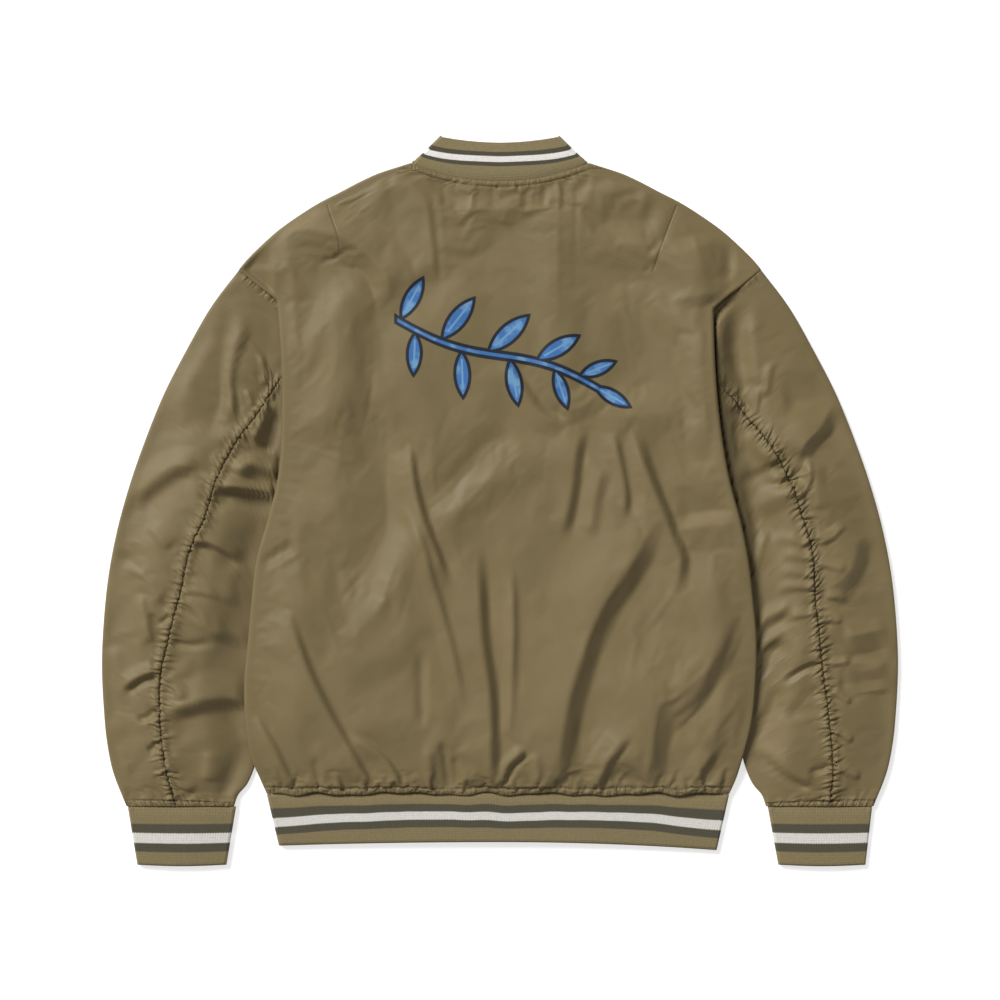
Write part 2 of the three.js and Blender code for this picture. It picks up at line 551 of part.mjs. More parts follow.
// One sleeve, as a flattened tube between its outer fold and its inner fold. Sections run across it, from the
// armhole at along = 0 to the cuff at along = 1.
function sleeve(side) {
  const sign = side === "left" ? -1 : 1;
  const folds = side === "left" ? LEFT_SLEEVE_FOLDS : RIGHT_SLEEVE_FOLDS;
  const line = (table, column) =>
    new THREE.CatmullRomCurve3(table.map((row) => new THREE.Vector3(row[column], row.y, 0)));
  const outerLine = line(SLEEVE_OUTER, "x");
  const innerLine = line(SLEEVE_INNER, "x");
  const seamLine = line(SLEEVE_SEAM, side);
  const outerRadius = FOLD_HEIGHT / 2;

  // A value across a section, from its values at the outer fold, the back seam (at q = seamAt) and the inner
  // fold.
  function across(q, seamAt, outer, seam, inner) {
    const weightOuter = ((q - seamAt) * (q - 1)) / seamAt;
    const weightSeam = (q * (q - 1)) / (seamAt * (seamAt - 1));
    const weightInner = (q * (q - seamAt)) / (1 - seamAt);
    return outer * weightOuter + seam * weightSeam + inner * weightInner;
  }

  // How far the armhole seam lies beside the straight line between its ends, fading along the sleeve.
  const atShoulder = outerLine.points[0];
  const atSeam = seamLine.points[0];
  const atArmpit = innerLine.points[0];
  const armholeWidth = atShoulder.distanceTo(atSeam) + atSeam.distanceTo(atArmpit);
  function hollow(q, along) {
    const seamAt = atShoulder.distanceTo(atSeam) / armholeWidth;
    const y = across(q, seamAt, atShoulder.y, atSeam.y, atArmpit.y);
    const straight = mix(atShoulder.x, atArmpit.x, (atShoulder.y - y) / (atShoulder.y - atArmpit.y));
    return (armholeAt(y) - straight) * (1 - ease(0, 0.22, along));
  }

  // The section at one place along the sleeve: a curve in plan through the outer fold, the back seam and the
  // inner fold.
  const sections = new Map();
  function section(along) {
    if (!sections.has(along)) {
      const outer = outerLine.getPointAt(along);
      const seam = seamLine.getPointAt(along);
      const inner = innerLine.getPointAt(along);
      const toSeam = outer.distanceTo(seam);
      const width = toSeam + seam.distanceTo(inner);
      seam.x -= hollow(toSeam / width, along);
      sections.set(along, { outer, seam, inner, width, seamAt: toSeam / width });
    }
    return sections.get(along);
  }
  function plan(q, along) {
    const { outer, seam, inner, seamAt } = section(along);
    const x = hollow(q, along) + across(q, seamAt, outer.x, seam.x, inner.x);
    return new THREE.Vector3(x, across(q, seamAt, outer.y, seam.y, inner.y), 0);
  }
  const innerRadius = (along) => TUCKED_HEIGHT / 2 + 1.3 * ease(0.86, 1, along);

  // Height of the upper layer's outer face.
  function top(point, q, along) {
    const s = section(along);
    const puff = sleevePuff(along);
    const fromOuter = q * s.width;
    const fromInner = (1 - q) * s.width;
    const pastBody = point.x - bodyEdge[side](point.y);
    const low = 2 * innerRadius(along);
    const shown = ease(2, 48, pastBody);
    const byOuter = mix(FOLD_HEIGHT, puff, ease(outerRadius, 55, fromOuter));
    const byInner = mix(low, puff, ease(innerRadius(along), 45, fromInner) * shown);
    const fromSeam = (q - s.seamAt) * s.width;
    const groove = 2 * Math.exp(-((fromSeam / 8) ** 2)) * ease(0.05, 0.2, along) * shown;
    const inside = ease(outerRadius, 28, fromOuter) * ease(innerRadius(along), 22, fromInner) * shown;
    const calm = ease(0.03, 0.12, along) * (1 - ease(0.93, 1, along));
    return Math.min(byOuter, byInner) - groove * calm + foldsAt(folds, point.x, point.y) * inside * calm;
  }

  // A panel from the back seam over one fold to the front seam below: towards is 0 for the outer fold, 1 for
  // the inner.
  const ROLL_START = 0.5;
  const ROLL_END = 0.7;
  const FRONT_SEAM = 0.5;
  function surface(towards) {
    const line = towards ? innerLine : outerLine;
    const widths = new Map();
    // How wide a section would be if it crossed all of the sleeve as squarely and evenly as it crosses the
    // fold.
    const squareWidth = (along) => {
      if (!widths.has(along)) {
        const step = plan(towards, along).sub(plan(Math.abs(towards - 0.01), along)).multiplyScalar(100);
        const across = step.cross(line.getTangentAt(along)).length();
        widths.set(along, Math.max(across, 0.14 * section(along).width));
      }
      return widths.get(along);
    };
    return (u, along) => {
      const s = section(along);
      const radius = towards ? innerRadius(along) : outerRadius;
      const roll = radius / squareWidth(along);
      const edge = towards ? 1 - roll : roll;
      const aside = ((towards ? 1 : -1) * 1.3 * GAP) / s.width;
      let q;
      let z;
      if (u < ROLL_START) {
        q = mix(s.seamAt + aside, edge, u / ROLL_START);
        z = null;
      } else if (u <= ROLL_END) {
        const turn = (Math.PI * (u - ROLL_START)) / (ROLL_END - ROLL_START);
        q = edge + (towards ? roll : -roll) * Math.sin(turn);
        z = radius * (1 + Math.cos(turn));
      } else {
        q = mix(edge, FRONT_SEAM + aside, (u - ROLL_END) / (1 - ROLL_END));
        z = 0;
      }
      const point = plan(q, along);
      point.z = z ?? top(point, q, along);
      point.x *= sign;
      return point;
    };
  }

  // Lines run along the sleeve: close together and finely stepped beside the seam, where the gathers are.
  const fine = span(0, 1, 2 * SLEEVE_GATHERS);
  const plain = [0, 0.04, ...span(0.09, 0.93, 16), 0.97, 1];
  const lines = [0, 0.06, 0.14, 0.23, 0.31, 0.36, 0.41, 0.5, 0.55, 0.6, 0.65, 0.7, 1];
  function half(towards) {
    const at = surface(towards);
    const swapped = (u, v) => at(v, u);
    const raise = (along, u) => {
      const shown = ease(0.1, 0.17, along) * (1 - ease(0.985, 1, along));
      const byCuff = u < ROLL_START ? 1.6 * ease(0.97, 0.99, along) * (lines.indexOf(u) % 2) : 0;
      return 2.3 * shown * (1 - ease(0, 0.16, u)) * gatherWave(along * SLEEVE_GATHERS) + byCuff;
    };
    return panel({
      at: swapped,
      side: towards ? -sign : sign,
      rows: lines,
      plainAt: () => plain,
      gatheredAt: (u) => (u < 0.1 ? fine : plain),
      raise,
      seamAt: CUFF_SEAM,
    });
  }
  return { outer: half(0), inner: half(1) };
}

// ---- Rib knit ----

// A flattened rib tube round a cuff: x0, x1 are its edges at the seam, x2, x3 at its free end.
function cuff(sign, { x0, x1, x2, x3 }) {
  const radius = RIB_HEIGHT / 2;
  const at = (u, v) => {
    const near = mix(x0, x2, v) + radius;
    const far = mix(x1, x3, v) - radius;
    const y = mix(CUFF_SEAM - 2 * GAP, CUFF_END, v);
    const quarter = u * 4;
    if (quarter < 1) {
      const belly = 1.6 * Math.sin(Math.PI * quarter);
      return new THREE.Vector3(sign * mix(near, far, quarter), y, RIB_HEIGHT + belly);
    }
    if (quarter < 2) {
      const turn = Math.PI * (quarter - 1);
      return new THREE.Vector3(sign * (far + radius * Math.sin(turn)), y, radius * (1 + Math.cos(turn)));
    }
    if (quarter < 3) return new THREE.Vector3(sign * mix(far, near, quarter - 2), y, 0);
    const turn = Math.PI * (quarter - 3);
    return new THREE.Vector3(sign * (near - radius * Math.sin(turn)), y, radius * (1 - Math.cos(turn)));
  };
  const round = [...span(0, 0.25, 8), ...span(0.25, 0.5, 6).slice(1), ...span(0.5, 0.75, 2).slice(1)];
  const around = [...round, ...span(0.75, 1, 6).slice(1)];
  return panel({
    at,
    side: -sign,
    rows: span(0, 1, 4),
    plainAt: () => around,
    thickness: RIB,
    ring: true,
  });
}

// The rib band at the hem: from the centre front round the back and again to the centre front.
function hemRib() {
  const radius = RIB_HEIGHT / 2;
  const edges = {
    left: (v) => mix(243, 230.5, v),
    right: (v) => mix(239, 226, v),
  };
  const drop = (x, v) => v * (x < 0 ? 4 : 9) * (Math.abs(x) / 230) ** 2;
  const START = 0.25;
  const ROLL = 0.04;
  const at = (u, v) => {
    const y = (x) => mix(HEM_SEAM - 3 * GAP, HEM_END, v) - drop(x, v);
    const left = -edges.left(v) + radius;
    const right = edges.right(v) - radius;
    const place = (x, z) => new THREE.Vector3(x, y(x), z);
    if (u < START - ROLL) return place(mix(-GAP, left, u / (START - ROLL)), 0);
    if (u < START) {
      const turn = (Math.PI * (u - START + ROLL)) / ROLL;
      return place(left - radius * Math.sin(turn), radius * (1 - Math.cos(turn)));
    }
    if (u <= 1 - START) {
      const t = (u - START) / (1 - 2 * START);
      const belly = (2.4 + 0.5 * Math.sin(9 * Math.PI * t) * (1 - v)) * Math.sin(Math.PI * t);
      return place(mix(left, right, t), RIB_HEIGHT + belly);
    }
    if (u <= 1 - START + ROLL) {
      const turn = (Math.PI * (u - 1 + START)) / ROLL;
      return place(right + radius * Math.sin(turn), radius * (1 + Math.cos(turn)));
    }
    return place(mix(right, GAP, (u - 1 + START - ROLL) / (START - ROLL)), 0);
  };
  const around = [
    ...span(0, START - ROLL, 3),
    ...span(START - ROLL, START, 6).slice(1),
    ...span(START, 1 - START, 24).slice(1),
    ...span(1 - START, 1 - START + ROLL, 6).slice(1),
    ...span(1 - START + ROLL, 1, 3).slice(1),
  ];
  return panel({
    at,
    side: -1,
    rows: span(0, 1, 3),
    plainAt: () => around,
    thickness: RIB,
  });
}

// The rib collar: its ends meet at the centre front, and its back half lies over its front half.
function collar() {
  const TIP = { x: 62, y: 380 };
  const END_TOP = 300;
  const BACK_TOP = 372;
  const radius = RIB_HEIGHT / 2;
  const slant = radius * Math.SQRT1_2; // its sides slope at 45 degrees
  const TURN = 0.3;
  const ROLL = 0.05;
  // From the neck seam (v = 0) to the free edge (v = 1), on one half of the collar; t runs from the centre
  // front over the fold to the centre back.
  const halfAt = (t, v) => {
    if (t < TURN) {
      const angle = (Math.PI / 2) * (t / TURN);
      const high = { x: TIP.x * Math.sin(angle), y: mix(END_TOP, TIP.y, 1 - Math.cos(angle)) };
      const inward = slant * Math.sin(angle) ** 3;
      const x = mix(neckFrontX(angle), high.x, v) + (t === 0 ? GAP : 0);
      return { x: x - inward, y: mix(neckFrontY(angle), high.y, v) - inward, z: 0 };
    }
    if (t < TURN + ROLL) {
      const turn = (Math.PI * (t - TURN)) / ROLL;
      const inward = slant * (1 - Math.sin(turn));
      const x = mix(NECK_HALF_WIDTH, TIP.x, v) - inward;
      return { x, y: mix(NECK_SIDE, TIP.y, v) - inward, z: radius * (1 - Math.cos(turn)) };
    }
    const across = 1 - (t - TURN - ROLL) / (1 - TURN - ROLL);
    const lowY = mix(NECK_BACK, NECK_SIDE - slant, across ** 2);
    const highY = mix(BACK_TOP, TIP.y - slant, across ** 1.8);
    const arch = 3 * Math.sin(Math.PI * v * 0.8) * (1 - across ** 2) + 1.2 * (1 - across ** 2);
    const halfWidth = mix(NECK_HALF_WIDTH, TIP.x, v) - slant;
    return { x: halfWidth * across, y: mix(lowY, highY, v), z: RIB_HEIGHT + arch };
  };
  const at = (u, v) => {
    const sign = u < 0.5 ? -1 : 1;
    const half = halfAt(u < 0.5 ? 2 * u : 2 - 2 * u, v);
    return new THREE.Vector3(sign * half.x, half.y, half.z);
  };
  const half = [
    ...neckAngles.map((angle) => (TURN * angle) / (Math.PI / 2)),
    ...span(TURN, TURN + ROLL, 6).slice(1),
    ...span(TURN + ROLL, 1, 8).slice(1),
  ].map((t) => t / 2);
  const around = [...half, ...half.slice(0, -1).map((u) => 1 - u).reverse()];
  return panel({
    at,
    side: 1,
    rows: span(0, 1, 3),
    plainAt: () => around,
    thickness: RIB,
  });
}

// ---- Press studs ----

// Cap below the left front, post through both laps, head above the right front.
function stud() {
  const headAt = RIGHT_LAP_HEIGHT + SHELL + GAP;
  const profile = [
    [0, 0],
    [STUD_CAP_RADIUS - 0.6, 0],
    [STUD_CAP_RADIUS, 0.5],
    [STUD_CAP_RADIUS, LEFT_LAP_HEIGHT - GAP],
    [STUD_POST_RADIUS, LEFT_LAP_HEIGHT - GAP],
    [STUD_POST_RADIUS, headAt],
    [STUD_HEAD_RADIUS, headAt],
    [STUD_HEAD_RADIUS, headAt + STUD_HEAD],
    [0, headAt + STUD_HEAD],
  ];
  const lathe = new THREE.LatheGeometry(profile.map(([r, z]) => new THREE.Vector2(r, z)), 12);
  return lathe.rotateX(Math.PI / 2);
}

// ---- Cutting the holes for the studs ----

const wasm = await Module();
wasm.setup();

function solidOf(geometry) {
  const mesh = new wasm.Mesh({
    numProp: 3,
    vertProperties: new Float32Array(geometry.getAttribute("position").array),
    triVerts: new Uint32Array(geometry.index.array),
  });
  mesh.merge();
  return new wasm.Manifold(mesh);
}

function geometryOf(solid) {
  const mesh = solid.getMesh();
  const geometry = new THREE.BufferGeometry();
  geometry.setAttribute("position", new THREE.BufferAttribute(mesh.vertProperties, 3));
  geometry.setIndex(new THREE.BufferAttribute(mesh.triVerts, 1));
  return geometry;
}

const studLevels = Array.from({ length: STUD_COUNT }, (_, k) => STUD_FIRST - k * STUD_SPACING);

function withStudHoles(geometry) {
  let solid = solidOf(geometry);
  for (const y of studLevels) {
    const hole = new THREE.CylinderGeometry(STUD_POST_RADIUS + GAP, STUD_POST_RADIUS + GAP, 30, 12);
    hole.rotateX(Math.PI / 2).translate(0, y, 0);
    const plain = new THREE.BufferGeometry().setAttribute("position", hole.getAttribute("position"));
    plain.setIndex(hole.index);
    solid = solid.subtract(solidOf(plain));
  }
  return geometryOf(solid);
}

// ---- Assembly ----

const shellCloth = new THREE.MeshStandardMaterial({ color: 0x8a7b58, roughness: 0.62, metalness: 0 });
const ribKnit = new THREE.MeshStandardMaterial({ color: 0x8c7e58, roughness: 0.9, metalness: 0 });
const studMetal = new THREE.MeshStandardMaterial({ color: 0x5d5646, roughness: 0.4, metalness: 0.7 });

const jacket = new THREE.Group();

function add(name, geometry, material) {
  const mesh = new THREE.Mesh(geometry, material);
  mesh.name = name;
  jacket.add(mesh);
  return mesh;
}

add("back_panel", back(), shellCloth);
add("front_left", withStudHoles(front(-1)), shellCloth);
add("front_right", withStudHoles(front(1)), shellCloth);
for (const side of ["left", "right"]) {
  const halves = sleeve(side);
  add(`sleeve_${side}_outer`, halves.outer, shellCloth);
  add(`sleeve_${side}_inner`, halves.inner, shellCloth);
}
add("cuff_left", cuff(-1, { x0: 275, x1: 388, x2: 285, x3: 378 }), ribKnit);
add("cuff_right", cuff(1, { x0: 279, x1: 388, x2: 290, x3: 381 }), ribKnit);
add("hem_rib", hemRib(), ribKnit);
add("collar_rib", collar(), ribKnit);
studLevels.forEach((y, k) => {
  add(`stud_${k + 1}`, stud(), studMetal).position.set(0, y, 0);
});

export default jacket;
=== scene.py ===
import math
from collections import namedtuple
from functools import partial, reduce

import bmesh
import bpy
import numpy as np
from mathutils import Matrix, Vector


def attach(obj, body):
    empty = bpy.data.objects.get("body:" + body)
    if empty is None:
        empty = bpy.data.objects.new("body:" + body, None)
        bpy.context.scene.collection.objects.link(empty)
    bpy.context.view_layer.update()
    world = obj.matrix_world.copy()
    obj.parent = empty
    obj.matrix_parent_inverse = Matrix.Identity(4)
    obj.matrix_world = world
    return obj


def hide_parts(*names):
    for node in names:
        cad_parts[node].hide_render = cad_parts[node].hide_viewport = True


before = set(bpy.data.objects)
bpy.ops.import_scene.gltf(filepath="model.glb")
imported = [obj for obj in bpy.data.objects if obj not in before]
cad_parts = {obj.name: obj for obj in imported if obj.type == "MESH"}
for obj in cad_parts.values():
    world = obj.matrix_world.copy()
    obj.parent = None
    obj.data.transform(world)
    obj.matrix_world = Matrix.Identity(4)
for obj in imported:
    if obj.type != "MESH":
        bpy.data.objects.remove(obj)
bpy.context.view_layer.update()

# %% [markdown]
# # A stadium jacket laid out flat, back up
#
# The frame that was just loaded holds the jacket's solids: a back, two fronts, two halves for
# each sleeve, the rib knit bands and six press studs. They have the right sizes and places, and
# few faces. Each cell below makes one cloth piece again with a fine surface, so that it has the
# folds, gathers and stitching of the real garment, and lets it stand for its solids.
#
# Every piece is a grid of cloth. `bmesh.ops.create_grid` makes the grid, and a function moves its
# points to their places. Lengths in the tables are millimetres, and MM turns them into metres.
# x runs to the side, y from the hem to the collar, and z up from the table.

# %% Measures of the garment
MM = 0.001
SIDES = ((-1, "left"), (1, "right"))  # the sign of x on each side
HEM_SEAM = -306.0
CUFF_SEAM = -319.0
CUFF_END = -380.0
NECK_SIDE = 352.0
NECK_BACK = 333.0
NECK_FRONT = 258.0
NECK_HALF_WIDTH = 90.0
NECK_TOP = NECK_SIDE - 0.9  # level of the shell's edge at the neck
ARMPIT = -12.0
SHOULDER_POINT = 240.0
FOLD_TOP = 205.0  # where the body's side fold starts
OVER_SLEEVE = 4.6  # height of what lies on a sleeve's inner fold
RIB_HEIGHT = 6.8
SHELL = 0.9  # cloth of the shell
RIB = 2.2  # rib knit
print(f"the shell is {NECK_TOP - HEM_SEAM:.0f} mm long from the collar to the hem band")

# %% [markdown]
# ## Smooth lines through a few points
#
# Every outline is a short table: how wide the garment is at a few heights. A smooth curve through
# them gives the rest, as a tailor draws it with a French curve.


# %% Easing, tables and paths
def ease(start, end, x):
    """Climbs smoothly from 0 at start to 1 at end, and stays there."""
    t = np.clip((x - start) / (end - start), 0.0, 1.0)
    return t * t * (3.0 - 2.0 * t)


def mix(a, b, t):
    return a + (b - a) * t


def smooth_table(*rows):
    """A smooth function through (key, value) pairs. Past the first and the last it stays level."""
    keys, values = np.array(sorted(rows), float).T
    slopes = np.gradient(values, keys)

    def at(key):
        key = np.clip(key, keys[0], keys[-1])
        i = np.clip(np.searchsorted(keys, key, side="right") - 1, 0, len(keys) - 2)
        step = keys[i + 1] - keys[i]
        t = (key - keys[i]) / step
        start = (1 + 2 * t) * (1 - t) ** 2 * values[i] + t * (1 - t) ** 2 * step * slopes[i]
        end = t * t * (3 - 2 * t) * values[i + 1] + t * t * (t - 1) * step * slopes[i + 1]
        return start + end

    return at


def smooth_path(points, count=40):
    """Evenly spaced points on a smooth curve through the given ones, and its length."""
    points = np.array(points, float)
    run = np.r_[0, np.cumsum(np.hypot(*np.diff(points, axis=0).T))]
    fine = np.linspace(0, run[-1], 12 * count)
    x = smooth_table(*zip(run, points[:, 0]))(fine)
    y = smooth_table(*zip(run, points[:, 1]))(fine)
    length = np.r_[0, np.cumsum(np.hypot(np.diff(x), np.diff(y)))]
    even = np.linspace(0, length[-1], count)
    return np.c_[np.interp(even, length, x), np.interp(even, length, y)], length[-1]


# %% Outlines, as on the solids
# rows of (y, distance from the centre line)
body_left = smooth_table(
    (205, 232), (150, 228), (95, 227), (20, 232), (-25, 243), (-60, 253), (-100, 258),
    (-145, 262), (-190, 266), (-230, 265), (-270, 258), (-290, 250), (-306, 243),
)
body_right = smooth_table(
    (205, 222), (150, 223), (95, 227), (20, 239), (-25, 251), (-60, 258), (-100, 263),
    (-145, 267), (-190, 266), (-230, 262), (-270, 252), (-290, 246), (-306, 239),
)
shoulder_line = smooth_table(
    (351, 93.5), (346.5, 108), (341, 125), (333, 143), (320, 168), (312, 184), (296, 210),
    (281, 231), (265, 249), (250, 264), (240, 272),
)
armhole_line = smooth_table(
    (240, 272), (222, 250), (208, 232), (190, 214), (150, 203), (100, 201), (50, 204),
    (15, 208), (-12, 211),
)
sleeve_inner_line = smooth_table(
    (-12, 211), (-45, 219), (-85, 229), (-130, 237), (-180, 243), (-230, 248), (-265, 252),
    (-279, 256), (-297, 264), (-308, 273), (-319, 277),
)


def body_edge(sign, y):
    """How far the body's side fold is from the centre line."""
    return np.where(sign < 0, body_left(y), body_right(y))


def back_outline(sign, y):
    """How far the back's outline is from the centre line."""
    shoulder = shoulder_line(y)
    seam = armhole_line(y) + 0.5
    side = np.where(y > ARMPIT, np.maximum(body_edge(sign, y), seam), body_edge(sign, y))
    return np.where(y >= SHOULDER_POINT, shoulder, np.where(y >= FOLD_TOP + 6, seam, side))


def front_lift(x, y):
    """How high the fronts lie over a sleeve's inner fold."""
    inner = sleeve_inner_line(y)
    return OVER_SLEEVE * ease(inner - 14, inner - 2, np.abs(x)) * ease(ARMPIT - 3, ARMPIT - 33, y)


def front_outline(sign, y):
    """How far a front's outer edge is from the centre line."""
    beside_sleeve = sleeve_inner_line(y) - 1.5
    lower = mix(beside_sleeve, body_edge(sign, y) - 3.5, ease(ARMPIT - 35, ARMPIT - 65, y))
    upper = np.where(y >= SHOULDER_POINT, shoulder_line(y) - 1, armhole_line(y) - 2)
    return np.where(y >= ARMPIT, upper, lower)


widest = -190
print(f"the body is {body_left(widest) + body_right(widest):.0f} mm wide at its widest")

# %% [markdown]
# ## Camera, floor and light
#
# The jacket is seen straight from above, as garments laid out for a catalogue are. A long lens
# from 3 m up keeps its outline flat. The light is one large soft lamp at the upper left, low
# enough to draw the folds, and weaker ones all round that keep the shadows open.

# %% Adding an object
def add_object(name, data):
    """An object in the scene, made of a mesh, a lamp or a camera."""
    added = bpy.data.objects.new(name, data)
    bpy.context.scene.collection.objects.link(added)
    return added


# %% Camera
CAMERA_HEIGHT = 3.0
FOCUS_HEIGHT = 0.01
FRAME_WIDTH = 1.04
camera_data = bpy.data.cameras.new("camera")
camera_data.lens = camera_data.sensor_width * (CAMERA_HEIGHT - FOCUS_HEIGHT) / FRAME_WIDTH
camera = add_object("camera", camera_data)
camera.location = (0, 0, CAMERA_HEIGHT)
bpy.context.scene.camera = camera
print(f"camera: {camera_data.lens:.0f} mm lens, {CAMERA_HEIGHT} m up")

# %% Lamps
WHITE = (1, 1, 1, 1)


def soft_lamp(name, place, width, strength):
    """A wide, even light that comes from place and is width degrees wide."""
    data = bpy.data.lights.new(name, "SUN")
    data.angle, data.energy = math.radians(width), strength
    lamp = add_object(name, data)
    lamp.location = place
    lamp.rotation_euler = (-Vector(place)).to_track_quat("-Z", "Y").to_euler()
    print(f"{name}: {width} degrees wide, strength {strength}")


soft_lamp("key_lamp", (-1.35, 1.3, 1.45), 24, 3.9)
soft_lamp("fill_lamp", (1.6, -1.2, 2.0), 60, 0.3)

world = bpy.data.worlds.new("studio")
world.use_nodes = True
background = world.node_tree.nodes["Background"]
background.inputs["Color"].default_value = WHITE
background.inputs["Strength"].default_value = 0.25
bpy.context.scene.world = world
bpy.context.scene.view_settings.view_transform = "Standard"

# %% Floor
FLOOR_HALF_WIDTH = 6
FLOOR_LEVEL = -0.0006  # just below the cloth
bm = bmesh.new()
bmesh.ops.create_grid(bm, x_segments=1, y_segments=1, size=FLOOR_HALF_WIDTH)
bmesh.ops.translate(bm, verts=bm.verts, vec=(0, 0, FLOOR_LEVEL))
floor_mesh = bpy.data.meshes.new("floor")
bm.to_mesh(floor_mesh)
bm.free()
floor = add_object("floor", floor_mesh)
print(f"floor: {2 * FLOOR_HALF_WIDTH} m wide")

# %% [markdown]
# ## Node helpers
#
# A material is a tree of nodes. These helpers add a node, set its inputs and join it to others in
# one line, so that a recipe reads from top to bottom.


# %% Node helpers
class Tree:
    """Short ways to add and join nodes in a node tree."""

    def __init__(self, tree):
        self.tree = tree

    def add(self, kind, settings=(), **inputs):
        """A new node. An input is given by its name, or as n and its number."""
        node = self.tree.nodes.new(kind)
        for key, value in dict(settings).items():
            setattr(node, key, value)
        self.fill(node, **inputs)
        return node

    def fill(self, node, **inputs):
        for key, value in inputs.items():
            self.put(node, key.replace("_", " "), value)

    def put(self, node, key, value):
        socket = node.inputs[int(key[1:]) if key[0] == "n" and key[1:].isdigit() else key]
        if isinstance(value, bpy.types.NodeSocket):
            self.tree.links.new(value, socket)
        else:
            socket.default_value = value

    def math(self, operation, a, b=0.0, c=0.0):
        return self.add("ShaderNodeMath", {"operation": operation}, n0=a, n1=b, n2=c).outputs[0]

    def plus(self, a, b):
        return self.math("ADD", a, b)

    def minus(self, a, b):
        return self.math("SUBTRACT", a, b)

    def times(self, a, b):
        return self.math("MULTIPLY", a, b)

    def over(self, a, b):
        return self.math("DIVIDE", a, b)

    def size_of(self, a):
        return self.math("ABSOLUTE", a)

    def squared(self, a):
        return self.math("POWER", a, 2.0)

    def joined(self, operation, values):
        """All the values joined by one operation, such as the smallest of them."""
        return reduce(partial(self.math, operation), values)

    def rise(self, value, low, high, bottom=0.0, top=1.0):
        """Climbs smoothly from bottom to top while the value goes from low to high."""
        node = self.add("ShaderNodeMapRange", {"interpolation_type": "SMOOTHSTEP"})
        self.fill(node, n0=value, n1=low, n2=high, n3=bottom, n4=top)
        return node.outputs[0]

    def fall(self, value, low, high):
        """Drops smoothly from 1 to 0 while the value goes from low to high."""
        return self.rise(value, low, high, 1.0, 0.0)

    def blend(self, factor, a, b):
        node = self.add("ShaderNodeMix", {"data_type": "RGBA", "blend_type": "MIX"})
        self.fill(node, n0=factor, n6=a, n7=b)
        return node.outputs[2]

    def noise(self, place, scale, detail, **more):
        node = self.add("ShaderNodeTexNoise", Vector=place, Scale=scale, Detail=detail, **more)
        return node.outputs["Fac"]

    def attribute(self, name):
        return self.add("ShaderNodeAttribute", {"attribute_name": name}).outputs["Fac"]

    def place(self):
        """Where a point is on the piece, in metres."""
        return self.add("ShaderNodeTexCoord").outputs["Object"]

    def scaled(self, vector, factor):
        node = self.add("ShaderNodeVectorMath", {"operation": "SCALE"}, n0=vector)
        self.put(node, "Scale", factor)
        return node.outputs[0]

    def x_and_y(self, vector):
        parts = self.add("ShaderNodeSeparateXYZ", n0=vector)
        return parts.outputs[0], parts.outputs[1]

    def bump(self, surface, height, strength):
        node = self.add("ShaderNodeBump", Height=height, Distance=1.0, Strength=strength)
        self.put(surface, "Normal", node.outputs["Normal"])

    def group(self, group, **inputs):
        """A group placed in this tree. Gives its outputs."""
        node = self.tree.nodes.new("ShaderNodeGroup")
        node.node_tree = group
        self.fill(node, **inputs)
        return node.outputs


# %% Groups, materials and colours
def node_group(name, inputs, outputs):
    """An empty node group, its helpers, its inputs' sockets and its output node.

    An input without a value is a vector, and every other input and output is one number.
    """
    group = bpy.data.node_groups.new(name, "ShaderNodeTree")
    for key, value in inputs.items():
        kind = "NodeSocketVector" if value is None else "NodeSocketFloat"
        socket = group.interface.new_socket(key, in_out="INPUT", socket_type=kind)
        if value is not None:
            socket.default_value = value
    for key in outputs:
        group.interface.new_socket(key, in_out="OUTPUT", socket_type="NodeSocketFloat")
    helpers = Tree(group)
    start = helpers.add("NodeGroupInput")
    end = helpers.add("NodeGroupOutput")
    return group, helpers, start.outputs, end


def new_material(name):
    material = bpy.data.materials.new(name)
    material.use_nodes = True
    print(f"material: {name}")
    return material, Tree(material.node_tree), material.node_tree.nodes["Principled BSDF"]


def colour(red, green, blue):
    """A linear colour from the screen's 0 to 255 numbers."""

    def to_linear(part):
        return part / 12.92 if part <= 0.04045 else ((part + 0.055) / 1.055) ** 2.4

    return (*(to_linear(part / 255) for part in (red, green, blue)), 1.0)


# %% [markdown]
# ### The floor's paper
#
# Clothes for a catalogue lie on seamless white paper, lit so brightly that it has no edges. White
# emission does the lamps' work here, and a faint mottle keeps the paper from being one flat tone.

# %% The floor's paper
PAPER = (0.6, 0.6, 0.6, 1)
PAPER_PALE = (0.63, 0.63, 0.63, 1)
floor_material, nodes, surface = new_material("floor_paper")
mottle = nodes.noise(nodes.place(), 9.0, 3.0)
nodes.fill(surface, Base_Color=nodes.blend(mottle, PAPER, PAPER_PALE), Roughness=0.9)
nodes.fill(surface, Emission_Color=WHITE, Emission_Strength=0.6)
floor_mesh.materials.append(floor_material)

# %% [markdown]
# ## Folds
#
# A fold in laid cloth is a ridge or a trough that follows a path and dies out at its ends. One
# flank is often steeper than the other. Each is one row of a table: its height, its width on the
# left and on the right of the path, and the path's points. Sculpting by hand would also do it,
# but a table can be read, moved and evened out.


# %% Folds
def crest(aside, width, rounding=0.8):
    """A ridge with plain flanks: 1 at its top, 0 from width on, its top and its feet a little rounded."""
    slope = 1 - (np.sqrt(aside**2 + rounding**2) - rounding) / width
    return 0.5 * (slope + np.sqrt(slope**2 + 0.004))


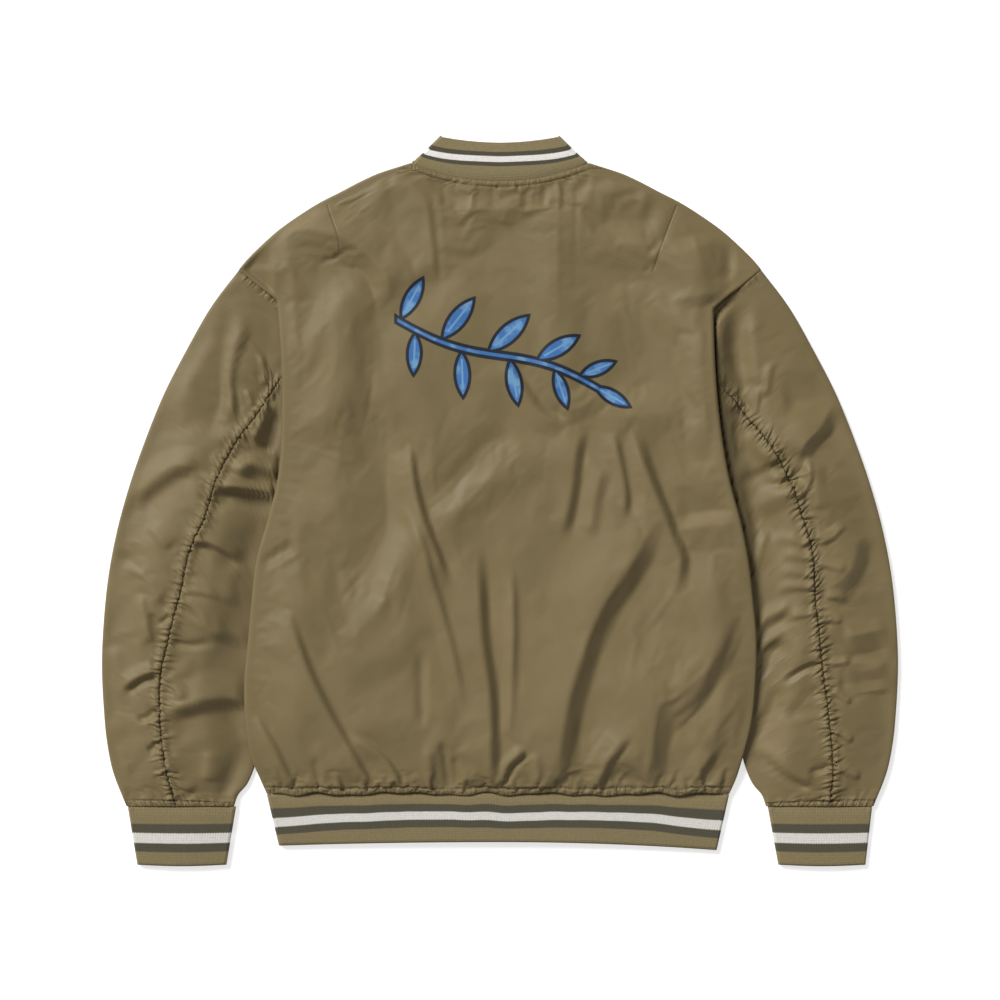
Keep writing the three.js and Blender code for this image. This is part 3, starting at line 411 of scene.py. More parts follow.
def beside(x, y, path):
    """Signed distance from a path, more than 0 on its left, and the way along it from 0 to 1.

    The path's first and last steps go on straight past its ends.
    """
    here = np.c_[x, y]
    steps = np.diff(path, axis=0)
    best = np.full(len(x), 1e9)
    aside, along = np.zeros(len(x)), np.zeros(len(x))
    for k, (start, step) in enumerate(zip(path[:-1], steps)):
        offset = here - start
        share = (offset @ step) / (step @ step)
        share = np.clip(share, 0 if k else -9, 1 if k < len(steps) - 1 else 9)
        distance = np.hypot(*(offset - share[:, None] * step).T)
        closer = distance < best
        best[closer] = distance[closer]
        side = np.sign(step[0] * offset[:, 1] - step[1] * offset[:, 0])
        aside[closer] = (side * distance)[closer]
        along[closer] = ((k + share) / len(steps))[closer]
    return aside, along


def fold_height(x, y, folds):
    """The height that a table of folds adds at points (x, y)."""
    height = np.zeros_like(x)
    for rise, left, right, *points in folds:
        path, _ = smooth_path(points)
        reach = 1.8 * max(left, right)
        low, high = path.min(0) - reach, path.max(0) + reach
        near = np.flatnonzero((x > low[0]) & (x < high[0]) & (y > low[1]) & (y < high[1]))
        if not len(near):
            continue
        aside, along = beside(x[near], y[near], path)
        across = crest(aside, np.where(aside > 0, left, right))
        ends = ease(-0.08, 0.18, along) * (1 - ease(0.84, 1.06, along))
        height[near] += rise * across * ends * (np.abs(aside) < reach)
    return height


hill = fold_height(np.array([0.0, 5.0]), np.zeros(2), [(4, 10, 10, (0, -50), (0, 50))])
print("a fold 4 mm high, at its crest and 5 mm beside it:", np.round(hill, 1))

# %% [markdown]
# ### Puckers, ripples and stitched bands
#
# Where cloth is gathered, short ridges leave the seam side by side, no two alike. A loop with its
# own random numbers makes them, so they are the same on every run. Larger pieces of cloth also
# have a soft unevenness everywhere, and a topstitched seam a raised band with a groove beside it.


# %% Puckers, ripples and stitched bands
PUCKER_SPAN = 30  # farther along the seam than this, a pucker adds nothing


def puckers(run, away, seed, spacing, reach, height, width):
    """Short ridges that leave a gathered seam. run is the way along it and away the distance from it."""
    chance = np.random.RandomState(seed)
    lowest, highest = run.min(), run.max()
    total = np.zeros_like(run)
    place = lowest + spacing * chance.rand()
    while place < highest:
        long = reach[0] + (reach[1] - reach[0]) * chance.rand() ** 2.2
        lean, wide = 0.7 * (chance.rand() - 0.5), width * (0.7 + 0.6 * chance.rand())
        rise = height * (0.55 + 0.65 * chance.rand()) * (0.75 + 0.5 * long / reach[1])
        near = np.flatnonzero((np.abs(run - place) < PUCKER_SPAN) & (away < long))
        share = away[near] / long
        off = run[near] - place - lean * away[near] - 1.2 * np.sin(3 * share + place)
        off = off / (wide * (1 + 0.9 * share))
        ridge = crest(off, 1.5, 0.2) - 0.9 * crest(off - 1.3, 0.8, 0.12)
        total[near] += rise * (1 - share) ** 1.3 * ridge
        place += spacing * (0.55 + 0.9 * chance.rand())
    return total


def zigzag(x):
    """A wave from -1 to 1 with plain flanks and rounded tops, as long as a sine."""
    return np.arcsin(0.97 * np.sin(x)) / 1.33


def ripples(x, y, length, seed):
    """Soft uneven undulation, from about -1 to 1, with waves about that long."""
    chance = np.random.RandomState(seed)
    total = np.zeros_like(x)
    for _ in range(6):
        angle, phase = 2 * math.pi * chance.rand(2)
        scale = 2 * math.pi / (length * (0.6 + 0.9 * chance.rand()))
        along = x * math.cos(angle) + y * math.sin(angle)
        across = y * math.cos(angle) - x * math.sin(angle)
        bend = 0.8 * np.sin(scale * 0.6 * across + 3 * phase)
        total += zigzag(scale * along + phase + bend)
    return total / 3.2


def swell(x, middle, width):
    """A soft bell, 1 at the middle."""
    return np.exp(-(((x - middle) / width) ** 2))


def stitched_band(away, rise, middle, line, line_width=1.2):
    """A raised band beside a seam and the groove of its line of stitches."""
    return rise * swell(away, middle, 2.4) - 0.9 * swell(away, line, line_width)


def unevenness(x, y, long, long_seed, short, short_seed):
    """Long low ripples with shorter, lower ones on them."""
    return 0.9 * ripples(x, y, long, long_seed) + 0.25 * ripples(x, y, short, short_seed)


sample = puckers(np.linspace(0, 60, 200), np.full(200, 3.0), 1, 5, (6, 12), 2, 1.5)
print(f"puckers beside a seam, 3 mm from it: {sample.min():.1f} to {sample.max():.1f} mm high")

# %% [markdown]
# ## From a grid to a piece of cloth
#
# `bmesh.ops.create_grid` gives a flat square of cloth. The grid's own coordinates tell which column
# and row a point belongs to, so the columns and rows can be as close together as the folds ask.
# A tube is a grid whose first and last columns meet: `remove_doubles` sews them. A Solidify
# modifier gives the cloth its thickness on the inside, so the outside stays where it is placed.

# %% Making cloth
SEWN_WITHIN = 0.02 * MM


def grid_mesh(name, columns, rows):
    """A flat grid, and for each of its points the column's and the row's place."""
    nx, ny = len(columns) - 1, len(rows) - 1
    bm = bmesh.new()
    bmesh.ops.create_grid(bm, x_segments=nx, y_segments=ny, size=0.5)
    mesh = bpy.data.meshes.new(name)
    bm.to_mesh(mesh)
    bm.free()
    flat = np.empty(3 * len(mesh.vertices))
    mesh.vertices.foreach_get("co", flat)
    flat = flat.reshape(-1, 3)
    u = np.asarray(columns, float)[np.rint((flat[:, 0] + 0.5) * nx).astype(int)]
    v = np.asarray(rows, float)[np.rint((flat[:, 1] + 0.5) * ny).astype(int)]
    return mesh, u, v


def sew(mesh, flip):
    """Joins points that meet, and turns the faces over if flip is set. Gives how many were joined."""
    before = len(mesh.vertices)
    bm = bmesh.new()
    bm.from_mesh(mesh)
    bmesh.ops.remove_doubles(bm, verts=bm.verts, dist=SEWN_WITHIN)
    if flip:
        bmesh.ops.reverse_faces(bm, faces=bm.faces)
    for face in bm.faces:
        face.smooth = True
    bm.to_mesh(mesh)
    bm.free()
    mesh.update()
    return before - len(mesh.vertices)


def cloth(name, columns, rows, place, thickness, flip=False, facts=None):
    """A grid of cloth.

    place(u, v) gives x, y and z in millimetres, and facts(u, v) named values for each point.
    """
    mesh, u, v = grid_mesh(name, columns, rows)
    points = np.stack(place(u, v), axis=1)
    mesh.vertices.foreach_set("co", (points * MM).ravel())
    for key, values in (facts(u, v) if facts else {}).items():
        attribute = mesh.attributes.new(key, "FLOAT", "POINT")
        attribute.data.foreach_set("value", np.asarray(values, np.float32))
    sewn = sew(mesh, flip)
    piece = add_object(name, mesh)
    wall = piece.modifiers.new("wall", "SOLIDIFY")
    wall.thickness, wall.offset = thickness * MM, -1
    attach(piece, "root")
    print(f"{name}: {len(mesh.polygons)} faces, {sewn} points sewn")
    return piece


def spread(*parts):
    """Column or row places: each part is (start, end, step)."""
    places = [np.linspace(a, b, max(1, round(abs(b - a) / step)) + 1)[:-1] for a, b, step in parts]
    return np.r_[np.concatenate(places), parts[-1][1]]


# %% [markdown]
# ## Letting the cloth settle
#
# The tables give the large folds. The small ones come from the sewing itself: a gathered edge
# holds more cloth than it has room for, and the surplus buckles. Blender's cloth simulation does
# just that. The edges are pinned, the cloth near a gathered seam is told that it is up to a tenth
# too long, and in a dozen frames without gravity it finds its own creases. The result is written
# back to the mesh, so no simulation stays on the piece.


# %% Reading and weighing a piece
def points_of(piece):
    """The piece's points in millimetres."""
    flat = np.empty(3 * len(piece.data.vertices))
    piece.data.vertices.foreach_get("co", flat)
    return flat.reshape(-1, 3) / MM


def fact_of(piece, key):
    """One value per point, in millimetres."""
    values = np.empty(len(piece.data.vertices), np.float32)
    piece.data.attributes[key].data.foreach_get("value", values)
    return values.astype(float) / MM


def weigh(piece, name, weights):
    """A vertex group with these weights, in steps of a hundredth."""
    group = piece.vertex_groups.new(name=name)
    levels = np.round(np.clip(weights, 0, 1), 2)
    for level in np.unique(levels[levels > 0]):
        group.add(np.flatnonzero(levels == level).tolist(), float(level), "REPLACE")


# %% Settling
SETTLING_FRAMES = 12
STIFFNESS, SHEAR_STIFFNESS, BENDING_STIFFNESS = 12, 4, 0.1
FARTHEST_DOWN, FARTHEST_UP, FARTHEST_ASIDE = -4.0, 6.0, 4.0


def add_simulation(piece, most):
    """A cloth simulation that lengthens the cloth by up to most where it isn't plain."""
    sim = piece.modifiers.new("settling", "CLOTH")
    sim.settings.quality = 4
    sim.settings.tension_stiffness = sim.settings.compression_stiffness = STIFFNESS
    sim.settings.shear_stiffness = SHEAR_STIFFNESS
    sim.settings.bending_stiffness = BENDING_STIFFNESS
    sim.settings.air_damping = 2
    sim.settings.vertex_group_mass = "held"
    sim.settings.vertex_group_shrink = "plain"
    sim.settings.shrink_min, sim.settings.shrink_max = -most, 0
    sim.settings.effector_weights.gravity = 0
    sim.collision_settings.use_collision = False
    sim.point_cache.frame_end = SETTLING_FRAMES
    return sim


def settle(piece, held, surplus):
    """Simulates cloth.

    held is 1 where a point is pinned, and surplus is how much too long the cloth is there.
    """
    before = points_of(piece)
    most = surplus.max()
    weigh(piece, "held", held)
    weigh(piece, "plain", 1 - surplus / most)
    piece.modifiers["wall"].show_viewport = False
    sim = add_simulation(piece, most)
    for number in range(1, SETTLING_FRAMES + 1):
        bpy.context.scene.frame_set(number)
    settled = piece.evaluated_get(bpy.context.evaluated_depsgraph_get())
    moved = points_of(settled) - before
    bpy.context.scene.frame_set(1)
    piece.modifiers.remove(sim)
    piece.modifiers["wall"].show_viewport = True
    moved[:, :2] = np.clip(moved[:, :2], -FARTHEST_ASIDE, FARTHEST_ASIDE)
    moved[:, 2] = np.clip(moved[:, 2], FARTHEST_DOWN, FARTHEST_UP)
    piece.data.vertices.foreach_set("co", ((before + moved) * MM).ravel())
    piece.data.update()
    piece.vertex_groups.clear()
    moves = np.abs(moved[:, 2])
    print(f"{piece.name}: settled by {moves.mean():.2f} mm, at most {moves.max():.1f} mm")


# %% [markdown]
# ## The back
#
# The back is the largest piece: it is gathered into the hem band below and into the collar above,
# and its side edges roll under, over the sleeves. The long folds run up from the hem, where the
# cloth is fullest. A fold and the crease at its foot are two rows that run side by side.

# %% Heights and folds of the back
back_middle = smooth_table(
    (-306, 9.4), (-292, 12.2), (-270, 16), (-235, 19), (-190, 20), (-50, 19.5), (60, 19),
    (180, 17), (205, 16), (225, 14.6), (242, 13.4), (256, 12.6), (300, 11), (351, 8.8),
)
edge_beside_arm = smooth_table(  # the right side stands higher, over the bunched sleeve
    (-306, 0), (-200, 0), (-100, 5), (-20, 11), (60, 15), (120, 15.5), (165, 13), (195, 8),
    (222, 2), (245, 0), (351, 0),
)
back_edge = smooth_table(
    (-306, 6.8), (-294, 8.5), (-270, 11.3), (-200, 12.4), (-50, 12.2), (60, 10.6), (180, 10.2),
    (205, 8), (225, 7), (242, 6.8), (256, 6.8), (300, 6.8), (351, 6.8),
)
# rise, width of the flank on the left and on the right of the path, then the path's points
BACK_FOLDS = [
    # the two deep folds on the right, each a crest and the crease at its foot
    (7.5, 19, 60, (156, -30), (143, -52), (114, -95), (95, -133), (78, -176), (66, -224),
     (60, -300)),
    (-4.2, 34, 15, (168, -33), (157, -62), (133, -102), (114, -125), (101, -167), (88, -212),
     (78, -253), (66, -300)),
    (6.2, 18, 42, (238, -126), (228, -152), (214, -176), (195, -193), (183, -203), (165, -212),
     (160, -236), (152, -300)),
    (-3.8, 26, 14, (252, -121), (238, -152), (225, -190), (209, -215), (193, -229), (180, -246),
     (171, -277), (160, -300)),
    # creases that run down to the hem on the left
    (4, 6, 36, (-217, -124), (-199, -176), (-175, -224), (-156, -257), (-134, -300)),
    (-2.8, 30, 6, (-210, -128), (-192, -178), (-168, -226), (-149, -259), (-128, -300)),
    (3.2, 5, 18, (-153, -244), (-127, -262), (-99, -300)),
    (-2.2, 16, 5, (-147, -242), (-121, -259), (-94, -298)),
    (3.4, 6, 20, (-256, -226), (-239, -250), (-216, -300)),
    (-1.6, 16, 6, (-250, -226), (-233, -250), (-210, -300)),
    # the large plane on the left and the bright one beside it
    (-7.6, 36, 90, (-118, 100), (-118, 20), (-120, -30), (-136, -66), (-156, -92), (-176, -112)),
    (3.2, 22, 30, (-95, -30), (-106, -57), (-114, -81), (-126, -118)),
    (-3, 8, 10, (-250, -66), (-234, -58), (-214, -46)),
    # the middle: long thin creases and a fork
    (4.8, 6, 30, (-94, 56), (-87, 5), (-80, -19), (-68, -50), (-55, -84)),
    (-2.8, 14, 6, (-88, 56), (-81, 5), (-74, -19), (-62, -50), (-50, -84)),
    (3.8, 6, 10, (-97, -12), (-82, -43), (-72, -81), (-60, -119), (-46, -176), (-41, -204)),
    (-4.6, 30, 20, (-76, -12), (-50, 9), (-20, 40), (12, 68)),
    (3.2, 20, 26, (-62, -18), (-30, 2), (2, 40), (28, 60)),
    (5.4, 9, 34, (-23, -58), (-21, -105), (-18, -152), (-12, -190), (-10, -306)),
    (-3.6, 16, 9, (-15, -58), (-12, -105), (-9, -152), (-3, -190), (0, -306)),
    (4, 6, 8, (12, -76), (13, -129), (12, -176), (8, -250)),
    (4.5, 5, 8, (24, -258), (8, -272), (0, -296)),
    (-3.5, 4, 5, (30, -262), (14, -276), (4, -298)),
    # short creases at the hem
    (-3.6, 5, 5, (-60, -250), (-56, -272), (-52, -304)),
    (-3.2, 4, 4, (-47, -266), (-44, -302)),
    (2.6, 6, 9, (-74, -256), (-70, -304)),
    (-2.8, 8, 8, (-82, -156), (-81, -200), (-80, -232)),
    (4.2, 7, 20, (130, -246), (112, -270), (98, -304)),
    (-3, 14, 7, (137, -246), (119, -270), (104, -304)),
    (3.8, 7, 18, (222, -262), (204, -286), (196, -304)),
    (-2.8, 12, 7, (229, -262), (212, -286), (203, -304)),
    (2.6, 5, 9, (36, -262), (42, -304)),
    (-2.2, 5, 5, (-192, -268), (-186, -304)),
    # creases that run down from the waist on the right
    (4.2, 9, 30, (82, 70), (77, 40), (73, 3), (64, -36)),
    (-2.8, 18, 9, (91, 70), (86, 40), (81, 3), (72, -36)),
    (3.8, 6, 18, (118, 66), (125, 31), (129, 7), (129, -16)),
    (-2.6, 14, 6, (124, 66), (131, 31), (135, 7), (135, -16)),
    (3, 9, 14, (107, 34), (97, 0), (92, -34)),
    (5, 10, 26, (140, 64), (152, 27), (164, -4), (176, -33), (186, -62), (184, -88)),
    (-3.4, 24, 10, (150, 66), (163, 27), (175, -4), (187, -33), (196, -62), (194, -88)),
    (-3, 30, 14, (188, -16), (214, -12), (242, -9)),
    (2.8, 14, 24, (186, -30), (214, -27), (244, -24)),
    # shoulders and upper back, with the star of tucks at each dart's tip
    (1.8, 3, 3, (-166, 256), (-172, 262), (-180, 265)),
    (-2.2, 3, 3, (-167, 253), (-175, 250), (-183, 251)),
    (1.8, 3, 3, (-165, 254), (-159, 247), (-152, 243)),
    (-2, 3, 3, (-164, 257), (-156, 259), (-148, 257)),
    (-2.2, 3, 3, (166, 272), (161, 263), (153, 258)),
    (1.8, 3, 3, (170, 268), (164, 258), (158, 248)),
    (-1.8, 3, 3, (156, 246), (151, 236)),
    (-1.5, 3, 3, (185, 308), (176, 286), (168, 265), (163, 250), (158, 236)),
    (6.5, 30, 17, (-232, 274), (-208, 280), (-166, 272), (-138, 256), (-118, 228), (-112, 206)),
    (-3.6, 17, 34, (-222, 258), (-186, 247), (-164, 243), (-138, 232), (-128, 206)),
    (3.2, 30, 34, (-80, 330), (-75, 294), (-70, 264), (-65, 230)),
    (-1.5, 7, 4, (-70, 312), (-67, 280), (-64, 250), (-63, 226)),
    (2.8, 30, 34, (-164, 224), (-162, 165), (-166, 105), (-178, 60)),
    (-2.4, 40, 28, (-128, 214), (-130, 165), (-134, 105), (-146, 60)),
    (1.8, 26, 20, (-216, 240), (-216, 205), (-210, 155), (-214, 100)),
    (-1.4, 24, 22, (-192, 236), (-192, 205), (-186, 155), (-188, 100)),
    (3, 16, 24, (-12, 320), (-28, 290), (-45, 252)),
    (2.4, 12, 16, (12, 320), (6, 300), (2, 284)),
    (4.2, 20, 26, (84, 331), (125, 318), (160, 308)),
    (-3.8, 26, 26, (98, 278), (110, 288), (128, 293), (162, 291)),
    (2.4, 18, 30, (60, 318), (60, 292), (61, 165), (66, 112)),
    (-6, 54, 60, (128, 250), (134, 209), (138, 170), (148, 95)),
    (2.4, 12, 36, (206, 236), (208, 180), (210, 120), (216, 50)),
    (6, 24, 40, (202, 272), (209, 242), (217, 205)),
    (-3.2, 5, 9, (240, 288), (240, 256), (238, 228)),
    (2.8, 8, 16, (4, 142), (28, 107), (42, 88), (64, 76)),
    (-2.6, 14, 8, (14, 146), (36, 112), (50, 94), (68, 84)),
    (2.6, 14, 18, (104, 112), (86, 97), (62, 92)),
]
NECK_FOLDS = [
    (-1.4, 5, 4, (-58, 329), (-58, 304)),
    (2.2, 6, 16, (-27, 327), (-31, 304), (-45, 284)),
    (-1.4, 5, 5, (-6, 326), (-8, 302)),
    (-1.8, 6, 5, (28, 326), (25, 300)),
    (-1.7, 5, 5, (47, 328), (44, 303)),
    (-2, 8, 5, (66, 332), (66, 300)),
]
print(f"{len(BACK_FOLDS) + len(NECK_FOLDS)} folds on the back")

# %% [markdown]
# ### From the tables to the back's relief
#
# The gathers, the stitched bands at the hem and the neck, and a soft unevenness join the folds of
# the tables. Everything fades out towards the side edges, where the cloth is pulled smooth round
# its roll, and towards the collar, where the seam holds it flat.


# %% Relief of the back
def neck_dip(x, level):
    """How far the neckline makes the rows of the back sag."""
    width = NECK_HALF_WIDTH + 3.5
    depth = (NECK_SIDE - NECK_BACK) * ease(240, NECK_TOP, level)
    return depth * (1 - np.clip(np.abs(x) / width, 0, 1) ** 2)


def back_relief(x, level):
    """Folds of the back, which fade at its rims."""
    inward = back_outline(np.sign(x), level) - np.abs(x)
    y = level - neck_dip(x, level)
    height = fold_height(x, y, BACK_FOLDS) * ease(1, 22, inward)
    height *= 1 - 0.85 * ease(312, 340, level)
    height += fold_height(x, y, NECK_FOLDS) * ease(352, 346, level)
    broad = unevenness(x, y, 120, 4, 46, 9)
    return height + broad * ease(4, 45, inward) * (1 - 0.5 * ease(250, 330, level))


def hem_relief(x, level):
    """Gathers and the stitched band above the hem seam."""
    up = level - HEM_SEAM
    band = stitched_band(up, 0.6, 2.8, 7.2)
    gathers = puckers(x, np.abs(up - 6.5), 21, 6.0, (6, 26), 1.7, 1.9)
    seam = 0.4 * np.sin(x / 1.7 + 2 * np.sin(x / 9)) * swell(up, 3, 3)
    return band + gathers * ease(3, 8, up) + seam


def neck_relief(x, level):
    """The stitched band and the gathers below the collar."""
    down = NECK_TOP - level
    band = stitched_band(down, 0.7, 3, 6.6, 1.1)
    gathers = puckers(x, np.abs(down - 6), 33, 5.2, (5, 13), 0.8, 1.8)
    return (band + gathers * ease(3, 7, down)) * ease(93, 84, np.abs(x))


def hem_wave(x):
    """The seam's own waves, where the fuller cloth pushes it down."""
    return 1.5 * np.sin(x / 13.0 + 1.4 * np.sin(x / 31.0)) + 0.8 * np.sin(x / 5.7 + 1.0)


# %% [markdown]
# ### The back's surface
#
# The back doesn't end at its outline: it rolls round a soft edge and turns under, to the side seam
# or the armhole. So one row of the grid goes from one turned edge, round the roll, over the top
# and round the other roll. A number from -3 to 3 tells where on that way a column is: up to 1
# either side is the top, 1 to 2 the roll, and 2 to 3 the cloth turned under.


# %% Roll and top of the back
def roll_reach(sign, y):
    """How far the side roll reaches in from the outline. It is wider where the outline slants."""
    slope = (back_outline(sign, y + 1) - back_outline(sign, y - 1)) / 2
    return 2.6 * np.minimum(2.6, np.hypot(1, slope))


def edge_underside(sign, y):
    """Height of the turned edge: on the fronts, on a sleeve, or low at the shoulder."""
    on_front = front_lift(front_outline(sign, y), y) + 2.7
    at_armpit = mix(OVER_SLEEVE + 1.8, OVER_SLEEVE, ease(ARMPIT, ARMPIT + 20, y))
    shoulder = mix(OVER_SLEEVE, 1.8, ease(SHOULDER_POINT, SHOULDER_POINT + 12, y))
    upper = np.where(y < ARMPIT + 20, at_armpit, shoulder)
    return np.where(y < ARMPIT - 33, on_front, upper)


def armhole_tuck(x, y, inward):
    """On the left the back sinks beside the armhole, down to a step along a crease."""
    crease = 236.5 + 0.02 * (y - FOLD_TOP)
    step = ease(crease - 1, crease + 4, np.abs(x)) * ease(3, 9, inward)
    return 3.6 * step * ease(198, 208, y) * (1 - ease(244, 266, y)) * (x < 0)


def back_top(x, y):
    """Height of the back at a point of its plan."""
    sign = np.sign(x)
    inward = back_outline(sign, y) - np.abs(x)
    at_edge = back_edge(y) + edge_beside_arm(y) * (sign > 0)
    ramp = np.where(sign > 0, 40 + 65 * ease(170, 235, y), 65)
    height = mix(at_edge, back_middle(y), ease(2, ramp, inward))
    on_rim = ease(HEM_SEAM, HEM_SEAM + 22, y)
    return height + back_relief(x, y) * on_rim - armhole_tuck(x, y, inward)


waist = back_top(np.array([-20.0, 20.0]), np.array([-100.0, -100.0]))
print(f"height of the back beside its centre line, at the waist: {waist.mean():.1f} mm")

# %% Placing the back
def turned_width(sign, level, centre):
    """How much cloth lies turned under, up to the front's edge or a little past it."""
    past_front = 3 * ease(ARMPIT + 12, ARMPIT - 8, level)
    return np.maximum(0.6, centre - (front_outline(sign, level) - past_front))


def place_back(u, level):
    sign = np.where(u < 0, -1.0, 1.0)
    outline = back_outline(sign, level)
    reach = roll_reach(sign, level)
    underside = edge_underside(sign, level)
    centre = outline - reach
    radius = (back_top(sign * centre, level) - underside) / 2
    left = -(back_outline(-1.0, level) - roll_reach(-1.0, level))
    right = back_outline(1.0, level) - roll_reach(1.0, level)
    turn = np.pi * np.clip(np.abs(u) - 1, 0, 1)
    turned = turned_width(sign, level, centre) * np.clip(np.abs(u) - 2, 0, 1)
    x_top = mix(left, right, (np.clip(u, -1, 1) + 1) / 2)
    x_roll = sign * (centre + reach * np.sin(turn) - turned)
    on_top = np.abs(u) <= 1
    x = np.where(on_top, x_top, x_roll)
    fade = ease(2, 26, outline - np.abs(x))
    details = (hem_relief(x, level) + neck_relief(x, level)) * fade
    on_roll = underside + radius * (1 + np.cos(turn))
    z = np.where(on_top, back_top(x_top, level) + details, on_roll)
    y = level - neck_dip(x, level)
    y = y - hem_wave(x) * (1 - ease(HEM_SEAM, HEM_SEAM + 14, level)) * fade
    return x, y, z


# %% [markdown]
# ### What the material has to know
#
# Stitches, and the painted shade of their seams' grooves, follow seams, not the grid. So each point
# also keeps some facts: how far it is above the hem, below the collar and beside a dart, and how far
# along. The material draws with them.

# %% The back
DART_RIGHT = ((184.5, 308), (176, 286), (168, 265), (163, 250), (158, 236))
DART_LEFT = ((-180, 308), (-174, 290), (-168, 272), (-166, 256))
FAR = 99  # farther from a seam than anything drawn beside it


def dart_distance(x, y, dart):
    path, _ = smooth_path(dart, 16)
    aside, along = beside(x, y, path)
    return np.where((along <= 0) | (along >= 1), FAR, aside)


def back_facts(u, level):
    x, y, _ = place_back(u, level)
    dart = np.where(x > 0, dart_distance(x, y, DART_RIGHT), dart_distance(x, y, DART_LEFT))
    return {
        "hem_up": (level - HEM_SEAM) * MM,
        "neck_down": np.where(np.abs(x) < 110, NECK_TOP - level, FAR) * MM,
        "dart": dart * MM,
        "run": x * MM,
        "level": y * MM,
    }


BACK_COLUMNS = spread((-3, -2, 0.34), (-2, -1, 0.17), (-1, 1, 0.0114), (1, 2, 0.17), (2, 3, 0.34))
BACK_ROWS = spread((HEM_SEAM, -270, 1.6), (-270, 300, 2.85), (300, NECK_TOP, 2.2))
back_shell = cloth("back_shell", BACK_COLUMNS, BACK_ROWS, place_back, SHELL, facts=back_facts)
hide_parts("back_panel")

# %% Settling the back
at = points_of(back_shell)
hem_up, neck_down = fact_of(back_shell, "hem_up"), fact_of(back_shell, "neck_down")
from_edge = back_outline(np.sign(at[:, 0]), at[:, 1]) - np.abs(at[:, 0])
at_edge, at_hem, at_neck = ease(12, 3, from_edge), ease(5, 1, hem_up), ease(5, 1, neck_down)
held = np.maximum.reduce([at_edge, at_hem, at_neck, at[:, 2] < 7.5])
near_hem, near_neck = ease(32, 3, hem_up), ease(26, 4, neck_down)
everywhere = np.full(len(at), 0.006)
settle(back_shell, held, np.maximum.reduce([everywhere, 0.1 * near_hem, 0.03 * near_neck]))

# %% [markdown]
# ## Sleeves
#
# Each sleeve lies flat beside the body: an outer fold, an inner fold that the body's edge covers,
# and a ruched seam down its back, drawn up on elastic so that the cloth puckers on both sides.
# One grid goes once round the sleeve, from the front seam under it and back, and is sewn there.
# Its rows are close together, because the puckers are only some millimetres wide.

# %% Lines and folds of the sleeves
SLEEVE_OUTER = (
    (272, 240), (300, 203), (327, 156), (351, 109), (370, 62), (386, 16), (399, -31), (408, -78),
    (413, -125), (415, -172), (413, -218), (410, -250), (404, -281), (389.5, -319),
)
SLEEVE_INNER = (
    (211, -12), (219, -45), (229, -85), (237, -130), (243, -180), (248, -230), (252, -265),
    (256, -279), (264, -297), (273, -308), (277, -319),
)
SLEEVE_SEAM = {
    -1: (
        (204.5, 160), (226, 130), (253, 90), (275, 58), (294, 21), (306, -18), (320, -49),
        (332, -98), (344, -145), (352, -184), (353, -215), (351, -250), (346, -282), (337, -319),
    ),
    1: (
        (204.5, 160), (223, 130), (254, 90), (280, 58), (300, 21), (314, -18), (323, -49),
        (327, -98), (332, -145), (336, -184), (340, -215), (344, -250), (346, -282), (343, -319),
    ),
}
bunched_up = smooth_table(  # the cloth heaped up beside the body, on the right sleeve
    (-110, 0), (-60, 4), (-30, 6), (10, 7), (40, 8), (70, 9.5), (95, 12), (120, 12), (150, 12),
    (180, 11), (200, 7), (220, 0),
)
sleeve_puff = smooth_table((0, 7.5), (0.15, 12), (0.4, 17), (0.7, 16), (0.92, 13), (1, 8))
FOLD_HEIGHT = 6.4  # of the outer fold
TUCKED_HEIGHT = 4.2  # of the inner fold, below the body's edge

